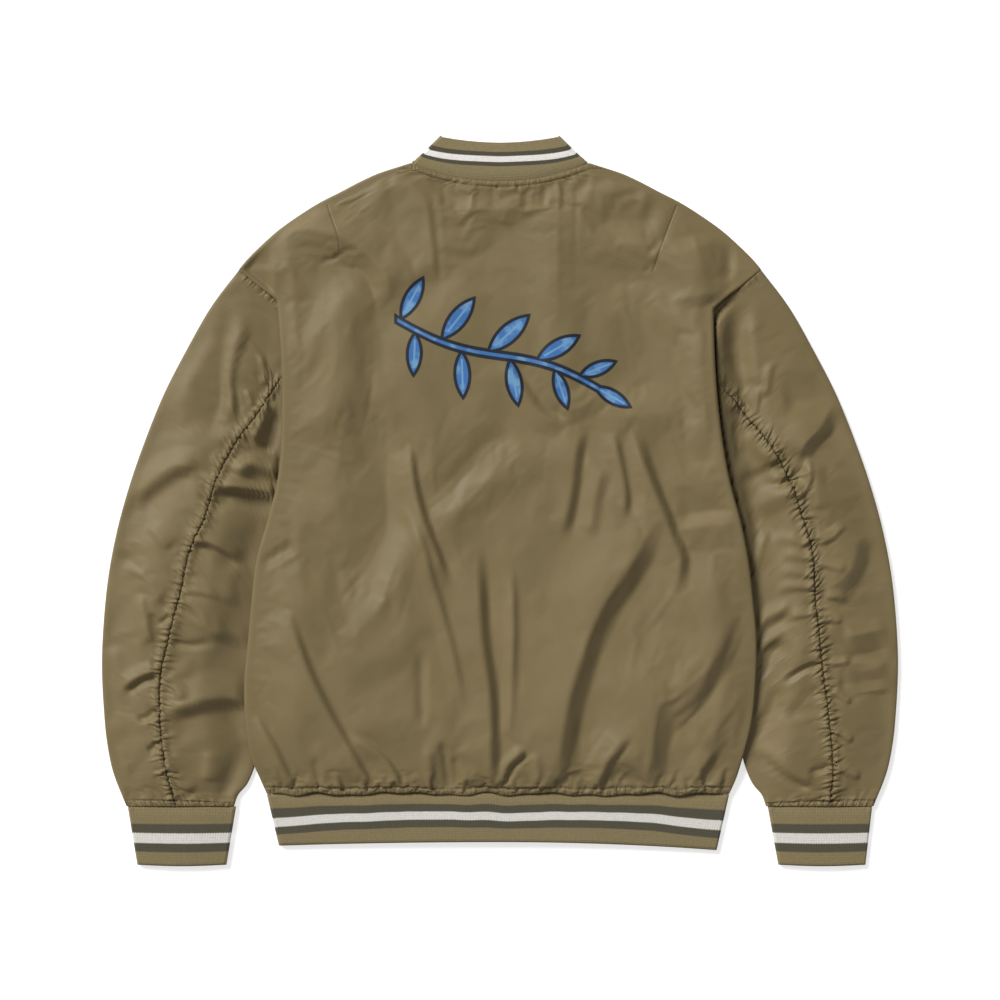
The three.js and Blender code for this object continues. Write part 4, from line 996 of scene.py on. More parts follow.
# for each sleeve: rise, width of the flank on the left and on the right of the path, then the
# path's points
SLEEVE_FOLDS = {
    -1: [
        # from the shoulder to the elbow
        (3.8, 30, 28, (288, 218), (294, 193), (306, 152), (326, 111), (331, 80)),
        (-3.8, 28, 12, (281, 204), (287, 163), (292, 101), (306, 60)),
        (3.8, 10, 6, (264, 183), (274, 158), (281, 126), (279, 101), (274, 80)),
        (-2.5, 6, 16, (258, 180), (268, 158), (275, 126), (273, 101), (269, 80)),
        (3.2, 5, 4, (248, 150), (245, 118)),
        (2.6, 5, 4, (263, 114), (258, 97)),
        (-2.5, 5, 9, (366, 62), (380, 14), (389, -26)),
        # the bunched cloth inside the elbow
        (6.5, 10, 10, (239, 101), (248, 82), (256, 64)),
        (-6.5, 10, 11, (232, 88), (241, 66), (246, 50)),
        (3.8, 5, 8, (258, 70), (252, 56), (240, 47), (229, 43)),
        (9, 9, 12, (274, 27), (258, 38), (244, 33), (226, 27)),
        (8, 8, 12, (294, 16), (269, 13), (238, 7), (226, 5)),
        (-8, 14, 8, (294, 7), (269, 4), (238, -2), (226, -5)),
        (4.2, 12, 20, (380, 4), (353, 23), (335, 35), (316, 33)),
        (-3.6, 26, 12, (372, -7), (350, 10), (334, 22), (318, 22)),
        # below the elbow, outside the seam
        (-2.4, 8, 8, (398, -56), (385, -64), (372, -73)),
        (3.2, 7, 16, (388, -66), (366, -84), (350, -108)),
        (2.6, 6, 12, (364, -28), (342, -50)),
        (3.2, 10, 6, (373, -98), (368, -126), (361, -148)),
        (-2.6, 4, 4, (362, -119), (353, -128), (342, -121)),
        (3.6, 16, 14, (409, -154), (394, -181), (385, -200)),
        (3.6, 5, 12, (388, -193), (373, -183), (356, -177)),
        (-4.4, 6, 6, (388, -200), (373, -190), (356, -184)),
        (-3.6, 5, 5, (376, -228), (364, -225), (354, -216)),
        (-3.6, 5, 5, (365, -262), (351, -250)),
        (2.6, 14, 16, (409, -226), (398, -255), (385, -284)),
        # below the elbow, inside the seam
        (3.8, 6, 12, (318, -42), (302, -43), (285, -52), (272, -63)),
        (-3.2, 10, 6, (318, -49), (302, -51), (285, -60), (274, -70)),
        (3.2, 14, 22, (274, -64), (284, -108)),
        (3.2, 5, 12, (328, -93), (311, -95), (294, -99)),
        (3.8, 6, 14, (332, -104), (315, -114), (301, -133), (294, -144)),
        (-3.4, 5, 5, (339, -149), (319, -151), (300, -147)),
        (3.6, 12, 20, (298, -138), (280, -139), (262, -142)),
        (3.4, 5, 10, (347, -184), (336, -195), (329, -206)),
        (6.4, 13, 26, (342, -220), (326, -213), (302, -206), (260, -207)),
        (-5.1, 26, 13, (341, -230), (326, -226), (302, -220), (260, -222)),
        (3.9, 5, 9, (347, -268), (331, -290), (318, -304)),
        (-3.6, 5, 5, (318, -304), (328, -311), (340, -313)),
        (-3.6, 12, 12, (262, -254), (276, -280), (290, -313)),
        (2.6, 8, 14, (300, -262), (304, -292)),
    ],
    1: [
        # from the shoulder to the elbow
        (-5.1, 16, 14, (247, 240), (243, 200), (241, 165), (246, 128)),
        (2.8, 8, 12, (262, 190), (264, 150), (268, 118)),
        (3.2, 5, 6, (281, 142), (275, 108)),
        (2.8, 4, 5, (269, 118), (265, 88)),
        (-3.8, 30, 26, (296, 103), (322, 105), (348, 106)),
        (5.5, 13, 34, (350, 108), (345, 98), (335, 78), (316, 58), (310, 44)),
        (-3.9, 26, 13, (354, 92), (344, 70), (326, 49), (318, 38)),
        # the bunched cloth inside the elbow
        (-3.8, 12, 10, (243, 96), (246, 64), (250, 38)),
        (3.8, 12, 10, (260, 70), (272, 52), (286, 40)),
        (-3.8, 8, 10, (246, 16), (275, 28), (292, 37)),
        (-3.6, 6, 6, (268, 16), (300, 20), (311, 30), (318, 46)),
        (-4.7, 12, 12, (254, 12), (258, -6), (262, -30)),
        (4, 12, 14, (268, -6), (284, 2), (306, 8)),
        (4, 4, 11, (320, 44), (318, 14), (307, 0)),
        (2.8, 10, 12, (326, 38), (330, -12)),
        # below the elbow, inside the seam
        (-4.7, 10, 10, (262, -14), (264, -40), (262, -62)),
        (3.6, 20, 8, (278, -34), (264, -64)),
        (2.8, 8, 4, (286, -38), (321, -46)),
        (2.8, 8, 4, (294, -57), (325, -61)),
        (2.8, 8, 4, (292, -74), (326, -78)),
        (3, 8, 4, (290, -91), (328, -90)),
        (2.8, 8, 4, (300, -121), (328, -117)),
        (3.6, 10, 8, (262, -134), (284, -118), (300, -110)),
        (-3.6, 8, 9, (266, -146), (287, -130), (302, -121)),
        (3.6, 14, 9, (258, -168), (280, -143), (293, -135)),
        (-5.5, 9, 10, (264, -184), (287, -156), (297, -148)),
        (-3.6, 5, 5, (298, -188), (315, -177), (335, -170)),
        (-4.4, 10, 10, (262, -246), (283, -219), (289, -196)),
        (-3.2, 9, 12, (302, -228), (317, -207), (332, -194)),
        (3.6, 14, 6, (270, -256), (291, -275), (312, -288), (326, -295)),
        (-3.9, 6, 5, (264, -262), (286, -281), (307, -294), (322, -301)),
        (-3.2, 5, 5, (322, -284), (343, -276)),
        # below the elbow, outside the seam
        (3.2, 8, 4, (330, -46), (345, -38), (357, -26)),
        (2.8, 8, 4, (330, -66), (357, -73)),
        (2.8, 8, 4, (338, -100), (358, -103)),
        (2.8, 8, 4, (334, -124), (354, -126)),
        (3.9, 14, 26, (374, -34), (361, -74), (350, -86), (340, -92)),
        (-3.6, 24, 14, (388, -44), (377, -80), (361, -108), (350, -118)),
        (3.6, 20, 18, (402, -134), (380, -138), (358, -142)),
        (-3.2, 16, 20, (404, -152), (381, -160), (360, -164)),
        (2.6, 14, 20, (392, -166), (397, -202)),
        (-3.2, 10, 10, (402, -185), (376, -189), (350, -192)),
        (2.8, 6, 4, (342, -171), (362, -168)),
        (3, 7, 4, (345, -199), (363, -210)),
        (3, 7, 4, (347, -240), (365, -250)),
        (3.2, 7, 5, (349, -278), (373, -288)),
        (-2.6, 7, 7, (380, -316), (392, -304)),
    ],
}
for sign, side in SIDES:
    print(f"{len(SLEEVE_FOLDS[sign])} folds on the {side} sleeve")

# %% [markdown]
# ### The plan of a sleeve
#
# Three lines give a flat sleeve its plan: the outer fold, the ruched seam and the inner fold. A
# point is placed by how far it is along them, from the armhole to the cuff, and by how far it is
# across, from the outer fold to the inner one. The armhole isn't straight, so near it the rows
# bow to follow it.


# %% The plan of a sleeve
def on_line(line, along):
    steps = np.linspace(0, 1, len(line))
    return np.interp(along, steps, line[:, 0]), np.interp(along, steps, line[:, 1])


def across_lines(q, seam_at, outer, seam, inner):
    """A smooth way across: outer at 0, seam at seam_at and inner at 1."""
    by_outer = ((q - seam_at) * (q - 1)) / seam_at
    by_seam = (q * (q - 1)) / (seam_at * (seam_at - 1))
    by_inner = (q * (q - seam_at)) / (1 - seam_at)
    return outer * by_outer + seam * by_seam + inner * by_inner


class Sleeve:
    """The plan of one flattened sleeve.

    along runs from the armhole, 0, to the cuff, 1, and q from the outer fold, 0, to the inner
    one, 1. Its own x is measured away from the body on either side.
    """

    def __init__(self, sign):
        self.sign = sign
        self.outer, self.outer_length = smooth_path(SLEEVE_OUTER, 400)
        self.inner, _ = smooth_path(SLEEVE_INNER, 400)
        self.seam, self.seam_length = smooth_path(SLEEVE_SEAM[sign], 400)
        shoulder, at_seam, armpit = self.outer[0], self.seam[0], self.inner[0]
        first = np.hypot(*(shoulder - at_seam))
        self.armhole_share = first / (first + np.hypot(*(at_seam - armpit)))

    def hollow(self, q, along):
        """How far the armhole seam lies beside the straight line between its ends."""
        (outer_x, outer_y), (_, seam_y), (inner_x, inner_y) = self.outer[0], self.seam[0], self.inner[0]
        y = across_lines(q, self.armhole_share, outer_y, seam_y, inner_y)
        straight = mix(outer_x, inner_x, (outer_y - y) / (outer_y - inner_y))
        return (armhole_line(y) - straight) * (1 - ease(0, 0.22, along))

    def section(self, along):
        """Points on the three lines, the width across them, and the seam's share of it."""
        (ox, oy), (sx, sy), (ix, iy) = (on_line(l, along) for l in (self.outer, self.seam, self.inner))
        to_seam = np.hypot(ox - sx, oy - sy)
        width = to_seam + np.hypot(sx - ix, sy - iy)
        sx = sx - self.hollow(to_seam / width, along)
        return (ox, oy), (sx, sy), (ix, iy), width, to_seam / width

    def plan(self, q, along):
        (ox, oy), (sx, sy), (ix, iy), _, seam_at = self.section(along)
        x = self.hollow(q, along) + across_lines(q, seam_at, ox, sx, ix)
        return x, across_lines(q, seam_at, oy, sy, iy)

    def square_width(self, edge, along):
        """How wide a section would be if it crossed all of the sleeve as it crosses the fold."""
        x0, y0 = self.plan(edge, along)
        x1, y1 = self.plan(np.abs(edge - 0.01), along)
        step = np.array([(x0 - x1) * 100, (y0 - y1) * 100])
        line = self.inner if edge else self.outer
        (ax, ay), (bx, by) = on_line(line, along - 0.004), on_line(line, along + 0.004)
        tangent = np.array([bx - ax, by - ay]) / np.hypot(bx - ax, by - ay)
        crossing = np.abs(step[0] * tangent[1] - step[1] * tangent[0])
        return np.maximum(crossing, 0.14 * self.section(along)[3])

    def inner_radius(self, along):
        return TUCKED_HEIGHT / 2 + 1.3 * ease(0.86, 1, along)


print(f"a sleeve is {Sleeve(-1).outer_length:.0f} mm long at its outer fold")

# %% [markdown]
# ### Relief of the sleeves
#
# Four things make the relief: the folds of the table, the ruched seam with puckers on both sides,
# the gathers at the cuff, and small tucks at the armhole. Nothing of it may cross the side folds,
# where the cloth turns, so it fades out before them.


# %% Relief of the sleeves
def ruched_seam(aside, run, sign):
    """The drawn-up seam: a groove between two low swells, with puckers on both sides."""
    outside = puckers(run, np.where(aside < 0, -aside, FAR), 40 + sign, 4.2, (9, 22), 1.9, 1.3)
    within = puckers(run, np.where(aside > 0, aside, FAR), 50 + sign, 4.8, (6, 22), 1.6, 1.4)
    groove = -1.1 * swell(aside, 0, 1.0) + 0.8 * swell(np.abs(aside), 4.5, 3)
    return outside + within + groove


def sleeve_relief(sleeve, x, y, q, along, width, seam_at, shown):
    """Folds, the ruched seam and the gathers at the cuff and the armhole."""
    sign = sleeve.sign
    across = q * width
    height = fold_height(x, y, SLEEVE_FOLDS[sign])
    height += unevenness(x, y, 80, 12 + sign, 28, 17 + sign)
    height *= ease(0.015, 0.08, along) * (1 - ease(0.95, 1, along))
    lively = ease(0.05, 0.13, along) * (1 - ease(0.985, 1, along))
    height += ruched_seam((q - seam_at) * width, along * sleeve.seam_length, sign) * lively
    to_cuff = (1 - along) * sleeve.outer_length
    cuff = puckers(across, np.abs(to_cuff - 6), 60 + sign, 5.5, (6, 24), 1.4, 1.8)
    from_armhole = along * sleeve.outer_length
    tucks = 2.2 if sign < 0 else 0.8
    armhole = puckers(across, np.abs(from_armhole - 2), 70 + sign, 5.0, (6, 15), tucks, 1.6)
    ends = stitched_band(to_cuff, 0.6, 2.8, 7) + cuff * ease(3, 8, to_cuff)
    height += ends + armhole * ease(1, 4, from_armhole)
    inside = ease(2, 20, across) * ease(2, 16, (1 - q) * width) * shown
    return height * inside


# %% [markdown]
# ### The upper layer
#
# The upper layer rises from both side folds to a puffed middle, lower towards the cuff. Where the
# body covers it, it is pressed down to the height of the inner fold. On the right it is heaped up
# beside the body, whose higher edge hangs over the hollow between them.


# %% The upper layer of a sleeve
def covered_by_body(sleeve, x, y):
    """How far a point is past the body's edge, and how much that edge stands up there."""
    beside_arm = (sleeve.sign > 0) * ease(-90, -30, y) * ease(222, 196, y)
    return x - body_edge(sleeve.sign, y), beside_arm


def sleeve_top(sleeve, x, y, q, along, width, seam_at):
    """Height of the upper layer."""
    puff = sleeve_puff(along)
    past_body, beside_arm = covered_by_body(sleeve, x, y)
    shown = ease(2 + 20 * beside_arm, 48 + 6 * beside_arm, past_body)
    by_outer = mix(FOLD_HEIGHT, puff, ease(FOLD_HEIGHT / 2, 55, q * width))
    radius = sleeve.inner_radius(along)
    by_inner = mix(2 * radius, puff, ease(radius, 45, (1 - q) * width) * shown)
    below_cuff = ease(0.94, 1, along)
    visible = np.maximum(ease(3 * beside_arm, 6 + 8 * beside_arm, past_body), below_cuff)
    relief = sleeve_relief(sleeve, x, y, q, along, width, seam_at, visible)
    heap = bunched_up(y) * ease(-1.5, 2.5, past_body) * (1 - ease(1, 32, past_body))
    heap = heap * ease(0.004, 0.03, along) * (sleeve.sign > 0)
    height = np.minimum(by_outer, by_inner) + relief + heap
    tucked_under = past_body < 3 - 1.8 * beside_arm
    return np.where(tucked_under, np.minimum(height, 2 * radius + 0.1), np.maximum(height, 2.4))


# %% [markdown]
# ### Once round a sleeve
#
# The grid's columns go once round: below to the outer fold, round it, over the top to the inner
# fold, round that one and back below. Each part is a fifth of the way, and has its own formula for
# how far across it is and how high.


# %% Placing a sleeve
def part_of(s):
    """The part of the way round, from 0 to 4, and how far along that part."""
    part = np.clip(np.floor(s), 0, 4)
    return part, s - part


def place_sleeve(sleeve, s, along):
    """s is 0 to 1 below, to 2 round the outer fold, to 3 above, to 4 round the inner fold, to 5 below."""
    *_, width, seam_at = sleeve.section(along)
    outer_roll = FOLD_HEIGHT / 2 / sleeve.square_width(0, along)
    inner_radius = sleeve.inner_radius(along)
    inner_roll = inner_radius / sleeve.square_width(1, along)
    part, t = part_of(s)
    to_seam, from_seam = mix(outer_roll, seam_at, 2 * t), mix(seam_at, 1 - inner_roll, 2 * t - 1)
    q_parts = [
        mix(0.5, outer_roll, t),
        outer_roll * (1 - np.sin(np.pi * t)),
        np.where(t < 0.5, to_seam, from_seam),
        1 - inner_roll * (1 - np.sin(np.pi * t)),
    ]
    where = [part == number for number in range(4)]
    q = np.select(where, q_parts, mix(1 - inner_roll, 0.5, t))
    x, y = sleeve.plan(q, along)
    below = 0.5 * np.maximum(0, 1 + ripples(x, y, 60, 31)) * ease(outer_roll, 3 * outer_roll, q)
    below = below * ease(inner_roll, 3 * inner_roll, 1 - q)
    below = below * ease(0.01, 0.06, along) * ease(1, 0.95, along)
    z_parts = [
        below,
        FOLD_HEIGHT / 2 * (1 - np.cos(np.pi * t)),
        sleeve_top(sleeve, x, y, q, along, width, seam_at),
        inner_radius * (1 + np.cos(np.pi * t)),
    ]
    return sleeve.sign * x, np.maximum(y, CUFF_SEAM), np.select(where, z_parts, below)


def sleeve_facts(sleeve, s, along):
    *_, width, seam_at = sleeve.section(along)
    part, t = part_of(s)
    aside = np.where(t < 0.5, -(1 - 2 * t) * seam_at, (2 * t - 1) * (1 - seam_at)) * width
    aside = np.where(part == 2, aside, np.where(part < 2, -FAR, FAR))
    return {
        "ruched": aside * MM,
        "cuff_up": (1 - along) * sleeve.outer_length * MM,
        "armhole_down": along * sleeve.outer_length * MM,
        "run": along * sleeve.seam_length * MM,
        "across": (aside + seam_at * width) * MM,
    }


# %% The sleeves
def towards_seam(steps):
    """Places from 0 to 1, closer together near 1."""
    return 1 - (1 - np.linspace(0, 1, steps + 1)) ** 1.7


below_and_outer = spread((0, 1, 0.125), (1, 2, 0.2))[:-1]
above = np.r_[2 + towards_seam(30)[:-1] / 2, 3 - towards_seam(26)[::-1] / 2][:-1]
SLEEVE_COLUMNS = np.r_[below_and_outer, above, spread((3, 4, 0.2), (4, 5, 0.125))]
SLEEVE_ROWS = np.linspace(0, 1, 501)


def make_sleeve(sign, side):
    sleeve = Sleeve(sign)
    place, facts = partial(place_sleeve, sleeve), partial(sleeve_facts, sleeve)
    name = f"sleeve_{side}"
    piece = cloth(name, SLEEVE_COLUMNS, SLEEVE_ROWS, place, SHELL, flip=sign < 0, facts=facts)
    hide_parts(f"sleeve_{side}_outer", f"sleeve_{side}_inner")
    return piece


def settle_sleeve(piece, sign):
    at = points_of(piece)
    cuff_up, armhole_down = fact_of(piece, "cuff_up"), fact_of(piece, "armhole_down")
    past_body = np.abs(at[:, 0]) - body_edge(sign, at[:, 1])
    at_ends = np.maximum(ease(6, 2, cuff_up), ease(6, 2, armhole_down))
    held = np.maximum.reduce([at_ends, at[:, 2] < 4.5, ease(9, 3, past_body)])
    near_seam = ease(15, 3, np.abs(fact_of(piece, "ruched")))
    near_cuff = ease(24, 4, cuff_up)
    everywhere = np.full(len(at), 0.002)
    settle(piece, held, np.maximum.reduce([everywhere, 0.1 * near_seam, 0.06 * near_cuff]))


sleeves = {side: make_sleeve(sign, side) for sign, side in SIDES}

# %% Settling the sleeves
for sign, side in SIDES:
    settle_sleeve(sleeves[side], sign)

# %% [markdown]
# ## Fronts
#
# The two fronts lie under everything, flat on the table. The left one laps over the right one,
# with the press studs through both. Nobody sees their folds, so they only get low ripples and the
# gathers above the hem, by the same tools as the back.

# %% The fronts' inner edge and rows
LAP = 14.0  # how far a front reaches past the centre line
LAP_STEP = 7.0
LAP_HEIGHT = {-1: 1.8, 1: 3.6}
NECK_ALLOWANCE = 1.6  # how far the collar's seam lies inside the cloth
NECK_DEPTH = NECK_SIDE - NECK_FRONT
neck_rows = NECK_SIDE - NECK_DEPTH * np.cos(np.linspace(0, np.pi / 2, 22))
beside_neck = (neck_rows - NECK_ALLOWANCE)[neck_rows > NECK_FRONT + 1]
below_neck = spread((HEM_SEAM, -270, 3), (-270, 246, 5.2), (246, NECK_FRONT - 1, 3))
FRONT_ROWS = np.r_[below_neck, beside_neck]
FRONT_COLUMNS = spread((0, 0.16, 0.012), (0.16, 0.86, 0.02), (0.86, 1, 0.012))


def front_start(level):
    """How far a front's inner edge is from the centre line: at the lap, and along the neck."""
    angle = np.arccos(np.clip((NECK_SIDE - level - NECK_ALLOWANCE) / NECK_DEPTH, -1, 1))
    along_neck = NECK_HALF_WIDTH * np.sin(angle) + 0.3 + 1.5 * np.sin(angle)
    return np.where(level <= NECK_FRONT - 1, -LAP, along_neck)


print(f"each front reaches {LAP:.0f} mm past the centre line, in {len(FRONT_ROWS)} rows")


# %% The fronts
def place_front(sign, u, level):
    start, end = front_start(level), front_outline(float(sign), level)
    x = mix(start, np.maximum(end, start + 1.5), u)
    flat_from = LAP + (3 if sign < 0 else 10)
    lap = LAP_HEIGHT[sign] * (1 - ease(flat_from - LAP_STEP, flat_from, x))
    inside = ease(flat_from + 4, flat_from + 24, x) * ease(2, 22, end - x)
    inside = inside * ease(HEM_SEAM, HEM_SEAM + 20, level) * ease(300, 260, level)
    relief = 0.8 * np.maximum(0, 1 + ripples(x, level, 75, 81 + sign)) * inside
    above_hem = swell(level - HEM_SEAM, 8, 7)
    gathers = 0.8 * (1 + np.sin(x / 2.6 + 2 * np.sin(x / 11))) * above_hem
    gathers = gathers * ease(flat_from + 2, flat_from + 10, x) * ease(2, 12, end - x)
    gathers = gathers * ease(HEM_SEAM, HEM_SEAM + 5, level)
    return sign * x, level, lap + front_lift(x, level) + relief + gathers


def front_facts(u, level):
    start, end = front_start(level), front_outline(1.0, level)
    x = mix(start, end, u)
    return {
        "hem_up": (level - HEM_SEAM) * MM,
        "lap_edge": (x - start) * MM,
        "run": x * MM,
        "level": level * MM,
    }


fronts = {}
for sign, side in SIDES:
    name, place = f"front_{side}_shell", partial(place_front, sign)
    piece = cloth(name, FRONT_COLUMNS, FRONT_ROWS, place, SHELL, flip=sign > 0, facts=front_facts)
    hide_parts(f"front_{side}")
    fronts[side] = piece

# %% [markdown]
# ## Rib knit
#
# The collar, the cuffs and the hem band are knitted in ribs that run across the band, with stripes
# along it. The ribs are real ridges here: each is a small wave along the band's own length. The
# stripes are colours of yarn, so they belong to the material, which reads how far up the band a
# point is.

# %% Rib knit bands
RIB_PITCH = 2.7
RIB_RELIEF = 0.34
RIB_RADIUS = RIB_HEIGHT / 2  # of a band's fold at the side
RIB_BEND = math.pi * RIB_RADIUS  # length of knit round such a fold
NEARBY, NEARBY_ROW = 0.4, 0.02  # how far off the surface is felt to find its slope


def outward(place, s, v):
    """The direction straight out of the surface that place(s, v) gives."""
    run = np.stack(place(s + NEARBY, v), 1) - np.stack(place(s - NEARBY, v), 1)
    above, below = np.minimum(v + NEARBY_ROW, 1), np.maximum(v - NEARBY_ROW, 0)
    up = np.stack(place(s, above), 1) - np.stack(place(s, below), 1)
    out = np.cross(run, up)
    return out / np.maximum(np.linalg.norm(out, axis=1), 1e-9)[:, None]


def knit(name, around, rows, place, flip, stripes):
    """A rib knit band.

    place(s, v) gives x, y and z; s is the length round the band in millimetres, and v goes from 0
    to 1 across it. stripes(s, v) tells the stripes how far across the band they are.
    """
    def ribbed(s, v):
        wave = RIB_RELIEF * (np.abs(np.cos(np.pi * s / RIB_PITCH)) ** 0.8 - 1)
        sign = -1 if flip else 1
        return tuple(c + sign * o * wave for c, o in zip(place(s, v), outward(place, s, v).T))

    def facts(s, v):
        return {"up_band": stripes(s, v), "round_band": s * MM}

    piece = cloth(name, around, rows, ribbed, RIB, flip=flip, facts=facts)
    return piece


def tucked_at_seam(v, depth, on_top, across, corner):
    """1 at the seam, on the upper layer alone and not at its corners. It sinks under the shell."""
    return ease(depth, 0, v) * on_top * ease(0, corner, across) * ease(1, 1 - corner, across)


# %% [markdown]
# ### Cuffs
#
# A cuff is a flat tube: an upper layer, a fold, a lower layer and another fold. It narrows towards
# the hand. The ribs have to meet where the tube is sewn, so a whole number of them goes round.

# %% The cuffs
CUFF_EDGES = {"left": (275, 388, 285, 378), "right": (279, 388, 290, 381)}  # at the seam and the end


def cuff_width(edges):
    """Width of a layer between its folds, halfway down."""
    x0, x1, x2, x3 = edges
    return (x1 + x3 - x0 - x2) / 2 - 2 * RIB_RADIUS


def place_cuff(sign, edges, stretch, s, v):
    x0, x1, x2, x3 = edges
    near, far = mix(x0, x2, v) + RIB_RADIUS, mix(x1, x3, v) - RIB_RADIUS
    wide = cuff_width(edges)
    s = (s / stretch) % (2 * (wide + RIB_BEND))
    t = s / wide
    across = np.clip(t, 0, 1)
    turn = np.clip((s - wide) / RIB_BEND, 0, 1) * np.pi
    back = np.clip((s - wide - RIB_BEND) / wide, 0, 1)
    last = np.clip((s - 2 * wide - RIB_BEND) / RIB_BEND, 0, 1) * np.pi
    arch = np.sin(np.pi * across)
    belly = 1.6 * arch + 0.5 * np.sin(7 * t) * (1 - v) * arch
    part = np.select([s < wide, s < wide + RIB_BEND, s < 2 * wide + RIB_BEND], [0, 1, 2], 3)
    round_far, round_near = far + RIB_RADIUS * np.sin(turn), near - RIB_RADIUS * np.sin(last)
    x = np.choose(part, [mix(near, far, across), round_far, mix(far, near, back), round_near])
    down, up = RIB_RADIUS * (1 + np.cos(turn)), RIB_RADIUS * (1 - np.cos(last))
    z = np.choose(part, [RIB_HEIGHT + belly, down, 0 * s, up])
    tucked = tucked_at_seam(v, 0.1, part == 0, across, 0.03)
    y = mix(CUFF_SEAM - 0.6, CUFF_END, v) - 1.2 * arch * v * (part == 0)
    return sign * x, y + 3 * tucked, z - 2 * tucked


cuffs = {}
for sign, side in SIDES:
    edges = CUFF_EDGES[side]
    total = 2 * (cuff_width(edges) + RIB_BEND)
    ribs = round(total / RIB_PITCH)
    stretch = ribs * RIB_PITCH / total
    around = np.linspace(0, total, 5 * ribs + 1) * stretch
    place = partial(place_cuff, sign, edges, stretch)
    piece = knit(f"cuff_{side}_knit", around, np.linspace(0, 1, 19), place, sign > 0, lambda s, v: v)
    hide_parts(f"cuff_{side}")
    cuffs[side] = piece

# %% [markdown]
# ### Hem band
#
# The hem band goes once round the body and is open at the centre front. It starts there below,
# turns up round the left side fold, crosses the back on top and turns down round the right one.

# %% The hem band
HEM_END = -356
HEM_FRONT = 232.0  # from the centre front to a fold
HEM_LENGTHS = [HEM_FRONT, RIB_BEND, 2 * HEM_FRONT, RIB_BEND, HEM_FRONT]
HEM_MARKS = np.r_[0, np.cumsum(HEM_LENGTHS)]


def place_hem(s, v):
    left, right = RIB_RADIUS - mix(243, 230.5, v), mix(239, 226, v) - RIB_RADIUS
    parts = zip(HEM_MARKS, HEM_LENGTHS)
    out, turn_up, across, turn_down, home = (np.clip((s - start) / run, 0, 1) for start, run in parts)
    turn_up, turn_down = turn_up * np.pi, turn_down * np.pi
    part = np.select([s < mark for mark in HEM_MARKS[1:-1]], [0, 1, 2, 3], 4)
    round_left, round_right = left - RIB_RADIUS * np.sin(turn_up), right + RIB_RADIUS * np.sin(turn_down)
    below_left, below_right = mix(-0.3, left, out), mix(right, 0.3, home)
    x = np.choose(part, [below_left, round_left, mix(left, right, across), round_right, below_right])
    arch = np.sin(np.pi * across)
    belly = 2.4 * arch + 0.7 * np.sin(9 * np.pi * across + 2 * np.sin(5 * across)) * (1 - v) * arch
    up, down = RIB_RADIUS * (1 - np.cos(turn_up)), RIB_RADIUS * (1 + np.cos(turn_down))
    z = np.choose(part, [0 * s, up, RIB_HEIGHT + belly, down, 0 * s])
    drop = v * np.where(x < 0, 4, 9) * (np.abs(x) / 230) ** 2
    wave = hem_wave(x) * (1 - v) * (part == 2) * arch
    wave = wave * 0.5 + 1.0 * np.sin(x / 26.0 + 1.0) * np.sin(np.pi * v) * (part == 2)
    tucked = tucked_at_seam(v, 0.12, part == 2, across, 0.02)
    y = mix(HEM_SEAM - 0.9, HEM_END, v) - drop - np.maximum(wave, -0.6)
    return x, y + 4 * tucked, z - 2.6 * tucked


def hem_stripes(s, v):
    """The stripes sink towards the side folds, where the band is pulled down."""
    x, _, _ = place_hem(s, v)
    return v - 0.11 * ease(150, 232, np.abs(x)) * np.sin(np.pi * v * 0.85)


hem_around = np.arange(0, HEM_MARKS[-1] + 0.01, RIB_PITCH / 5)
hem_knit = knit("hem_knit", hem_around, np.linspace(0, 1, 15), place_hem, True, hem_stripes)
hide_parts("hem_rib")

# %% [markdown]
# ### Collar
#
# The collar stands up at the neck and lies pressed flat here: its back half is on top, and its
# front half runs below the neckline to the centre front. Half of it is worked out, from the centre
# front to the centre back, and the other half is its mirror image.

# %% The collar
TIP_X, TIP_Y = 62.0, 380.0  # the upper corner at the side
FRONT_TOP, BACK_TOP = 300.0, 372.0
COLLAR_TURN, COLLAR_ROLL = 0.3, 0.05  # shares of half its length: the front, and the side roll
COLLAR_LENGTH = 560.0


def collar_front(angle, v, slant):
    """Plan of the front half below: a quarter of an oval, drawn in towards the side roll."""
    drawn_in = slant * np.sin(angle) ** 3
    low_y = NECK_SIDE - NECK_DEPTH * np.cos(angle)
    high_y = mix(FRONT_TOP, TIP_Y, 1 - np.cos(angle))
    x = mix(NECK_HALF_WIDTH * np.sin(angle), TIP_X * np.sin(angle), v) - drawn_in + 0.3
    return x, mix(low_y, high_y, v) - drawn_in


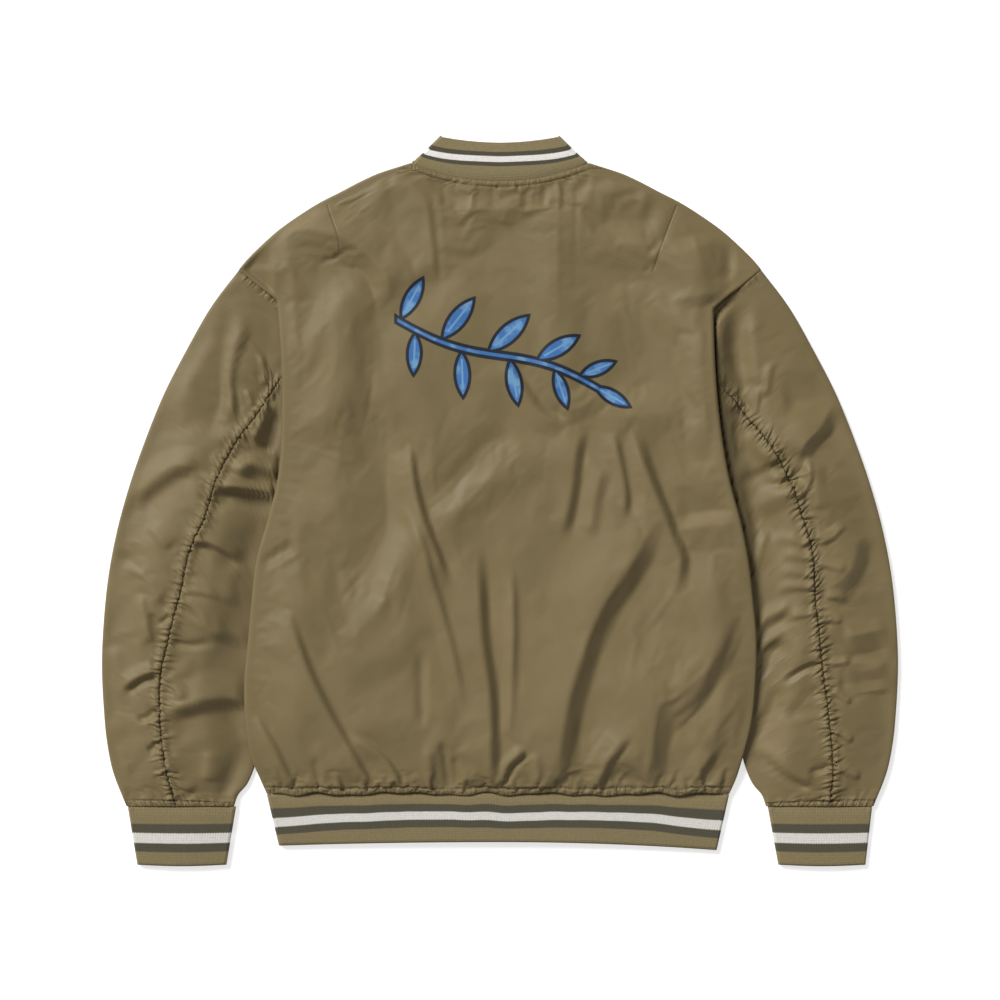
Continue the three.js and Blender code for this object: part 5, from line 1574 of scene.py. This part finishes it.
def place_collar(s, v):
    """s runs from the centre front on the left, round the back, to the centre front on the right."""
    share = s / COLLAR_LENGTH
    sign = np.where(share < 0.5, -1.0, 1.0)
    t = np.clip(np.where(share < 0.5, 2 * share, 2 - 2 * share), 0, 1)
    slant = RIB_RADIUS * math.sqrt(0.5)
    front_x, front_y = collar_front(np.pi / 2 * np.clip(t / COLLAR_TURN, 0, 1), v, slant)
    turn = np.pi * np.clip((t - COLLAR_TURN) / COLLAR_ROLL, 0, 1)
    inward = slant * (1 - np.sin(turn))
    fold_x = mix(NECK_HALF_WIDTH + 2.5 * (1 - v) ** 4, TIP_X, v) - inward
    fold_y = mix(NECK_SIDE, TIP_Y, v) - inward
    across = 1 - np.clip((t - COLLAR_TURN - COLLAR_ROLL) / (1 - COLLAR_TURN - COLLAR_ROLL), 0, 1)
    back_x = (mix(NECK_HALF_WIDTH, TIP_X, v) - slant) * across
    low = mix(NECK_BACK, NECK_SIDE - slant, across**2)
    high = mix(BACK_TOP, TIP_Y - slant, across**1.8)
    arch = (2.4 * np.sin(np.pi * (0.4 + 0.55 * v)) + 0.9) * (1 - across**2)
    part = np.select([t < COLLAR_TURN, t < COLLAR_TURN + COLLAR_ROLL], [0, 1], 2)
    x = np.choose(part, [front_x, fold_x, back_x])
    y = np.choose(part, [front_y, fold_y, mix(low, high, v)])
    z = np.choose(part, [0 * s, RIB_RADIUS * (1 - np.cos(turn)), RIB_HEIGHT + arch])
    tucked = ease(0.12, 0, v) * ease(COLLAR_TURN - 0.02, COLLAR_TURN, t)
    return sign * x, y - 3.4 * tucked, z - 2.2 * tucked * (z > RIB_RADIUS)


def collar_stripes(s, v):
    """The stripes lie lower on the band at the collar's sides."""
    t = np.abs(s / COLLAR_LENGTH - 0.5) * 2
    at_side = np.interp(v, (0, 0.25, 0.36, 0.53, 0.68, 1), (0, 0.36, 0.474, 0.628, 0.744, 1))
    return mix(v, at_side, ease(0.1, 0.66, t))


collar_around = np.arange(0, COLLAR_LENGTH + 0.01, RIB_PITCH / 5)
collar_rows = np.linspace(0, 1, 15)
collar_knit = knit("collar_knit", collar_around, collar_rows, place_collar, False, collar_stripes)
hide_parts("collar_rib")

# %% [markdown]
# ## Materials
#
# The jacket has three finishes: a matt woven shell, rib knit in coloured yarns, and lacquered
# studs. Scanned textures would give their looks too, but recipes of nodes stay sharp at any
# distance and can be changed. What several materials share is built once as a node group.

# %% Stitches and painted groove shade
# A line of dark dashes beside a seam, which is its thread and painted shade of the seam's groove
# together, and the dent that the thread pulls.
STITCH_PITCH = 0.0028
inputs = {"Distance": 1.0, "Run": 0.0, "Offset": 0.0}
stitches, g, given, made = node_group("stitch_line_and_groove_shade", inputs, ["Thread", "Dent"])
off = g.size_of(g.minus(given["Distance"], given["Offset"]))
beat = g.math("FRACT", g.over(given["Run"], STITCH_PITCH))
dash = g.fall(g.size_of(g.minus(beat, 0.5)), 0.28, 0.38)
# the dark dashes drawn here are thread and painted shade of the seam's groove at once
g.put(made, "Thread", g.times(g.fall(off, 0.0003, 0.0008), dash))
g.put(made, "Dent", g.fall(off, 0.0003, 0.0018))
print(f"stitches: one every {STITCH_PITCH / MM:.1f} mm")

# %% Tiny puckers
# The smallest puckers right beside a gathered seam are too fine for the grid of the cloth.
TICK_SPACING, TICK_LENGTH = 0.0042, 0.016
inputs = {"Distance": 1.0, "Run": 0.0, "Reach": 0.01}
ticks, g, given, made = node_group("gathered_ticks", inputs, ["Height"])
run, out = g.over(given["Run"], TICK_SPACING), g.over(given["Distance"], TICK_LENGTH)
spot = g.add("ShaderNodeCombineXYZ", n0=run, n1=out).outputs[0]
grain = g.rise(g.noise(spot, 1.0, 1.5, Distortion=0.5), 0.32, 0.68)
near = g.math("POWER", g.fall(g.size_of(given["Distance"]), 0.0, given["Reach"]), 1.4)
g.put(made, "Height", g.times(grain, near))
print(f"tiny puckers: about {TICK_SPACING / MM:.1f} mm apart")

# %% Weave
# Warp and weft cross as two waves. A cloudy mask lets the colour and the gloss vary a little.
WEAVE_PITCH = 0.0007
weave, g, given, made = node_group("fine_weave", {"Place": None, "Pitch": 0.0006}, ["Height", "Mottle"])
directions = g.x_and_y(g.scaled(given["Place"], g.over(1.0, given["Pitch"])))
warp, weft = (g.math("SINE", g.times(way, 2 * math.pi)) for way in directions)
slub = g.noise(given["Place"], 900.0, 2.0)
g.put(made, "Height", g.plus(g.times(g.times(warp, weft), 0.5), slub))
g.put(made, "Mottle", g.rise(g.noise(given["Place"], 14.0, 4.0, Roughness=0.6), 0.3, 0.7))
print(f"weave: a thread every {WEAVE_PITCH / MM:.1f} mm")

# %% [markdown]
# ### The motif on the back
#
# The back carries a print: a branch with leaves, drawn in blue with a dark outline. It is a
# material, because ink has no thickness. A leaf is where two circles overlap, so its outline is
# the distance to one circle's middle, with the point mirrored across the leaf's vein. Taking the
# smallest distance joins the leaves and the stem into one drawing, and the dark outline is the
# band where that distance is small.

# %% A leaf
# Lengths are millimetres: Long and Wide are half the leaf's length and width.
inputs = {"Place": None, "X": 0.0, "Y": 0.0, "Turn": 0.0, "Long": 25.0, "Wide": 8.0}
leaf, g, given, made = node_group("leaf", inputs, ["Distance", "Vein"])
x, y = g.x_and_y(given["Place"])
dx, dy = g.minus(x, given["X"]), g.minus(y, given["Y"])
cosine, sine = g.math("COSINE", given["Turn"]), g.math("SINE", given["Turn"])
along = g.plus(g.times(dx, cosine), g.times(dy, sine))
aside = g.size_of(g.minus(g.times(dy, cosine), g.times(dx, sine)))
squares = g.plus(g.squared(given["Long"]), g.squared(given["Wide"]))
radius = g.over(squares, g.times(given["Wide"], 2.0))
lifted = g.plus(aside, g.minus(radius, given["Wide"]))
reach = g.math("SQRT", g.plus(g.squared(g.size_of(along)), g.squared(lifted)))
g.put(made, "Distance", g.minus(reach, radius))
past_vein = g.minus(g.size_of(along), g.times(given["Long"], 0.55))
g.put(made, "Vein", g.math("MAXIMUM", aside, past_vein))

# %% The branch
INK_DARK = colour(30, 34, 42)
INK_BLUE = colour(58, 106, 163)
INK_PALE = colour(104, 146, 184)
OUTLINE = 3.4
STEM_HEIGHT, STEM_FALL = 150.0, 0.36
STEM_WAVE, STEM_WAVE_LENGTH = 8.0, 36.0
STEM_HALF_LENGTH, STEM_HALF_WIDTH = 108.0, 5.0
# a leaf: where it leaves the stem, its turn in degrees, half its length and half its width
LEAVES = [
    (-104, 62, 27, 9.5), (-88, -92, 25, 9), (-62, 52, 30, 10.5), (-40, -88, 27, 9.5),
    (-14, 42, 31, 11), (10, -80, 27, 9.5), (36, 30, 28, 10), (56, -72, 24, 8.5),
    (80, 22, 23, 8.5), (96, -30, 24, 8.5),
]


def stem_height(x):
    return STEM_HEIGHT - STEM_FALL * x + STEM_WAVE * math.sin(x / STEM_WAVE_LENGTH)


def stem_distance(nodes, x, y):
    """The stem: a slightly waved line that falls to the right."""
    wave = nodes.times(nodes.math("SINE", nodes.over(x, STEM_WAVE_LENGTH)), STEM_WAVE)
    stem_y = nodes.plus(nodes.math("MULTIPLY_ADD", x, -STEM_FALL, STEM_HEIGHT), wave)
    beyond = nodes.minus(nodes.size_of(nodes.plus(x, 2.0)), STEM_HALF_LENGTH)
    off_stem = nodes.times(nodes.size_of(nodes.minus(y, stem_y)), 0.9)
    return nodes.math("MAXIMUM", nodes.minus(off_stem, STEM_HALF_WIDTH), beyond)


def sprig(nodes, place, tone):
    """The branch drawn over a tone."""
    spot = nodes.scaled(place, 1 / MM)
    distances, veins = [stem_distance(nodes, *nodes.x_and_y(spot))], []
    for start, degrees, long, wide in LEAVES:
        turn = math.radians(degrees)
        x, y = start + long * math.cos(turn), stem_height(start) + long * math.sin(turn)
        one = nodes.group(leaf, Place=spot, X=x, Y=y, Turn=turn, Long=long, Wide=wide)
        distances.append(one["Distance"])
        veins.append(one["Vein"])
    ink, vein = nodes.joined("MINIMUM", distances), nodes.joined("MINIMUM", veins)
    fill = nodes.blend(nodes.rise(nodes.noise(place, 70.0, 2.0), 0.45, 0.7), INK_BLUE, INK_PALE)
    fill = nodes.blend(nodes.fall(vein, 0.6, 1.4), fill, INK_PALE)
    drawing = nodes.blend(nodes.rise(ink, -OUTLINE - 0.5, -OUTLINE + 0.5), fill, INK_DARK)
    return nodes.blend(nodes.fall(ink, -0.5, 0.5), tone, drawing)


print(f"the branch: {len(LEAVES)} leaves on a stem {2 * STEM_HALF_LENGTH:.0f} mm long")

# %% [markdown]
# ### The shell's cloth
#
# The shell is a smooth, matt woven cloth with a soft sheen. Back, sleeves and fronts share one
# recipe and differ in their seams: each seam adds its line of stitches, darkened with painted shade
# of the seam's groove, and, where it is gathered, its tiny puckers.

# %% The shell's cloth
KHAKI = colour(112, 98, 65)
KHAKI_WARM = colour(117, 102, 70)
# the dark of a seam's line: thread and painted shade of the seam's groove
SEAM_THREAD_AND_SHADE = colour(66, 56, 33)
WEAVE_DEPTH, STITCH_DEPTH = 0.00004, 0.0005

# distance and run name the attributes that tell how far a point is from the seam and along it;
# offset and strength place the stitches' dark line of thread and painted groove shade and tell how dark
# it is, and reach and rise are the tiny puckers'
Seam = namedtuple("Seam", "distance run offset strength reach rise", defaults=(0.0, 0.0))


def shell_material(name, seams, motif=None):
    material, nodes, surface = new_material(name)
    place = nodes.place()
    woven = nodes.group(weave, Place=place, Pitch=WEAVE_PITCH)
    tone = nodes.blend(woven["Mottle"], KHAKI, KHAKI_WARM)
    dents, gathers = [], []
    for seam in seams:
        distance, run = nodes.attribute(seam.distance), nodes.attribute(seam.run)
        line = nodes.group(stitches, Distance=distance, Run=run, Offset=seam.offset)
        # darkens the cloth along each seam: thread, and painted shade of the seam's groove
        tone = nodes.blend(nodes.times(line["Thread"], seam.strength), tone, SEAM_THREAD_AND_SHADE)
        dents.append(line["Dent"])
        if seam.rise:
            puckered = nodes.group(ticks, Distance=distance, Run=run, Reach=seam.reach)
            gathers.append(nodes.times(puckered["Height"], seam.rise))
    if motif:
        tone = motif(nodes, place, tone)
    rough = nodes.rise(woven["Mottle"], 0.0, 1.0, 0.5, 0.62)
    nodes.fill(surface, Base_Color=tone, Roughness=rough)
    nodes.fill(surface, Sheen_Weight=0.1, Sheen_Roughness=0.4, Specular_IOR_Level=0.25)
    dent = nodes.times(nodes.joined("MAXIMUM", dents), STITCH_DEPTH)
    height = nodes.minus(nodes.times(woven["Height"], WEAVE_DEPTH), dent)
    nodes.bump(surface, nodes.plus(height, nodes.joined("MAXIMUM", gathers)), 0.8)
    return material


def dress(pieces, material):
    for piece in pieces:
        piece.data.materials.append(material)


back_seams = [
    Seam("hem_up", "run", 0.007, 0.5, 0.016, 0.0013),
    Seam("neck_down", "run", 0.0065, 0.5, 0.014, 0.0007),
    Seam("dart", "level", 0.0, 0.6),
]
sleeve_seams = [
    Seam("ruched", "run", 0.0, 0.5, 0.013, 0.002),
    Seam("cuff_up", "across", 0.007, 0.5, 0.016, 0.002),
    Seam("armhole_down", "across", 0.0005, 0.5, 0.012, 0.002),
]
front_seams = [Seam("hem_up", "run", 0.007, 0.5, 0.016, 0.002), Seam("lap_edge", "level", 0.006, 0.5)]
dress([back_shell], shell_material("shell_cloth_back", back_seams, motif=sprig))
dress(sleeves.values(), shell_material("shell_cloth_sleeve", sleeve_seams))
dress(fronts.values(), shell_material("shell_cloth_front", front_seams))

# %% [markdown]
# ### Rib yarns
#
# The bands are knitted in khaki, dark and white yarn. A stripe changes colour at a row of the
# knit, so the material asks how far up the band a point is. A small wave with the ribs makes the
# stripes' edges ragged, as stitches do, and a fuzz of fibres breaks up the colour.

# %% Rib yarns
STRIPE_DARK = colour(76, 72, 58)
STRIPE_WHITE = colour(206, 203, 196)
COLLAR_WHITE = colour(226, 221, 216)
RIB_KHAKI = colour(124, 111, 79)
COLLAR_KHAKI = colour(132, 119, 86)
FIBRE_SHADE = (0.03, 0.026, 0.014, 1)
EDGE_BLUR = 0.008
# how far up the band dark, white, dark and khaki yarn begin
HEM_STRIPES = (0.2, 0.36, 0.53, 0.69)
COLLAR_STRIPES = (0.36, 0.474, 0.628, 0.744)
CUFF_STRIPES = (0.288, 0.445, 0.617, 0.766)


def dress_in_yarn(piece, stripes, khaki=RIB_KHAKI, white=STRIPE_WHITE):
    dark_from, white_from, dark_again, khaki_from = stripes
    material, nodes, surface = new_material(piece.name + "_yarn")
    up, around = nodes.attribute("up_band"), nodes.attribute("round_band")
    rib_wave = nodes.math("SINE", nodes.times(around, 2 * math.pi / (RIB_PITCH * MM)))
    level = nodes.plus(up, nodes.times(rib_wave, 0.006))
    tone = khaki
    for start, end, yarn in ((dark_from, khaki_from, STRIPE_DARK), (white_from, dark_again, white)):
        begun = nodes.rise(level, start - EDGE_BLUR, start + EDGE_BLUR)
        not_over = nodes.fall(level, end - EDGE_BLUR, end + EDGE_BLUR)
        tone = nodes.blend(nodes.times(begun, not_over), tone, yarn)
    fuzz = nodes.noise(nodes.place(), 420.0, 3.0)
    tone = nodes.blend(nodes.rise(fuzz, 0.35, 0.7, 0.0, 0.1), tone, FIBRE_SHADE)
    nodes.fill(surface, Base_Color=tone, Roughness=nodes.rise(fuzz, 0.3, 0.7, 0.8, 0.95))
    nodes.fill(surface, Sheen_Weight=0.2, Specular_IOR_Level=0.2)
    courses = nodes.math("SINE", nodes.times(up, 150.0))
    height = nodes.plus(nodes.times(courses, 0.00008), nodes.times(fuzz, 0.0002))
    nodes.bump(surface, height, 0.7)
    dress([piece], material)


dress_in_yarn(hem_knit, HEM_STRIPES)
dress_in_yarn(collar_knit, COLLAR_STRIPES, COLLAR_KHAKI, COLLAR_WHITE)
for piece in cuffs.values():
    dress_in_yarn(piece, CUFF_STRIPES)

# %% [markdown]
# ### Press studs
#
# The studs keep the frame's own solids, because a stud is a rigid turned part. They are brass
# under a lacquer in the shell's colour, a little worn.

# %% Press studs
LACQUER = colour(92, 84, 66)
LACQUER_WORN = colour(120, 112, 92)
stud_lacquer, nodes, surface = new_material("stud_lacquer")
wear = nodes.noise(nodes.place(), 260.0, 4.0)
lacquer = nodes.blend(nodes.rise(wear, 0.4, 0.65), LACQUER, LACQUER_WORN)
gloss = nodes.rise(wear, 0.3, 0.7, 0.28, 0.45)
nodes.fill(surface, Base_Color=lacquer, Roughness=gloss, Metallic=0.75)
studs = [node for name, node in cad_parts.items() if name.startswith("stud_")]
for stud in studs:
    stud.data.materials.clear()
dress(studs, stud_lacquer)
print(f"{len(studs)} press studs")
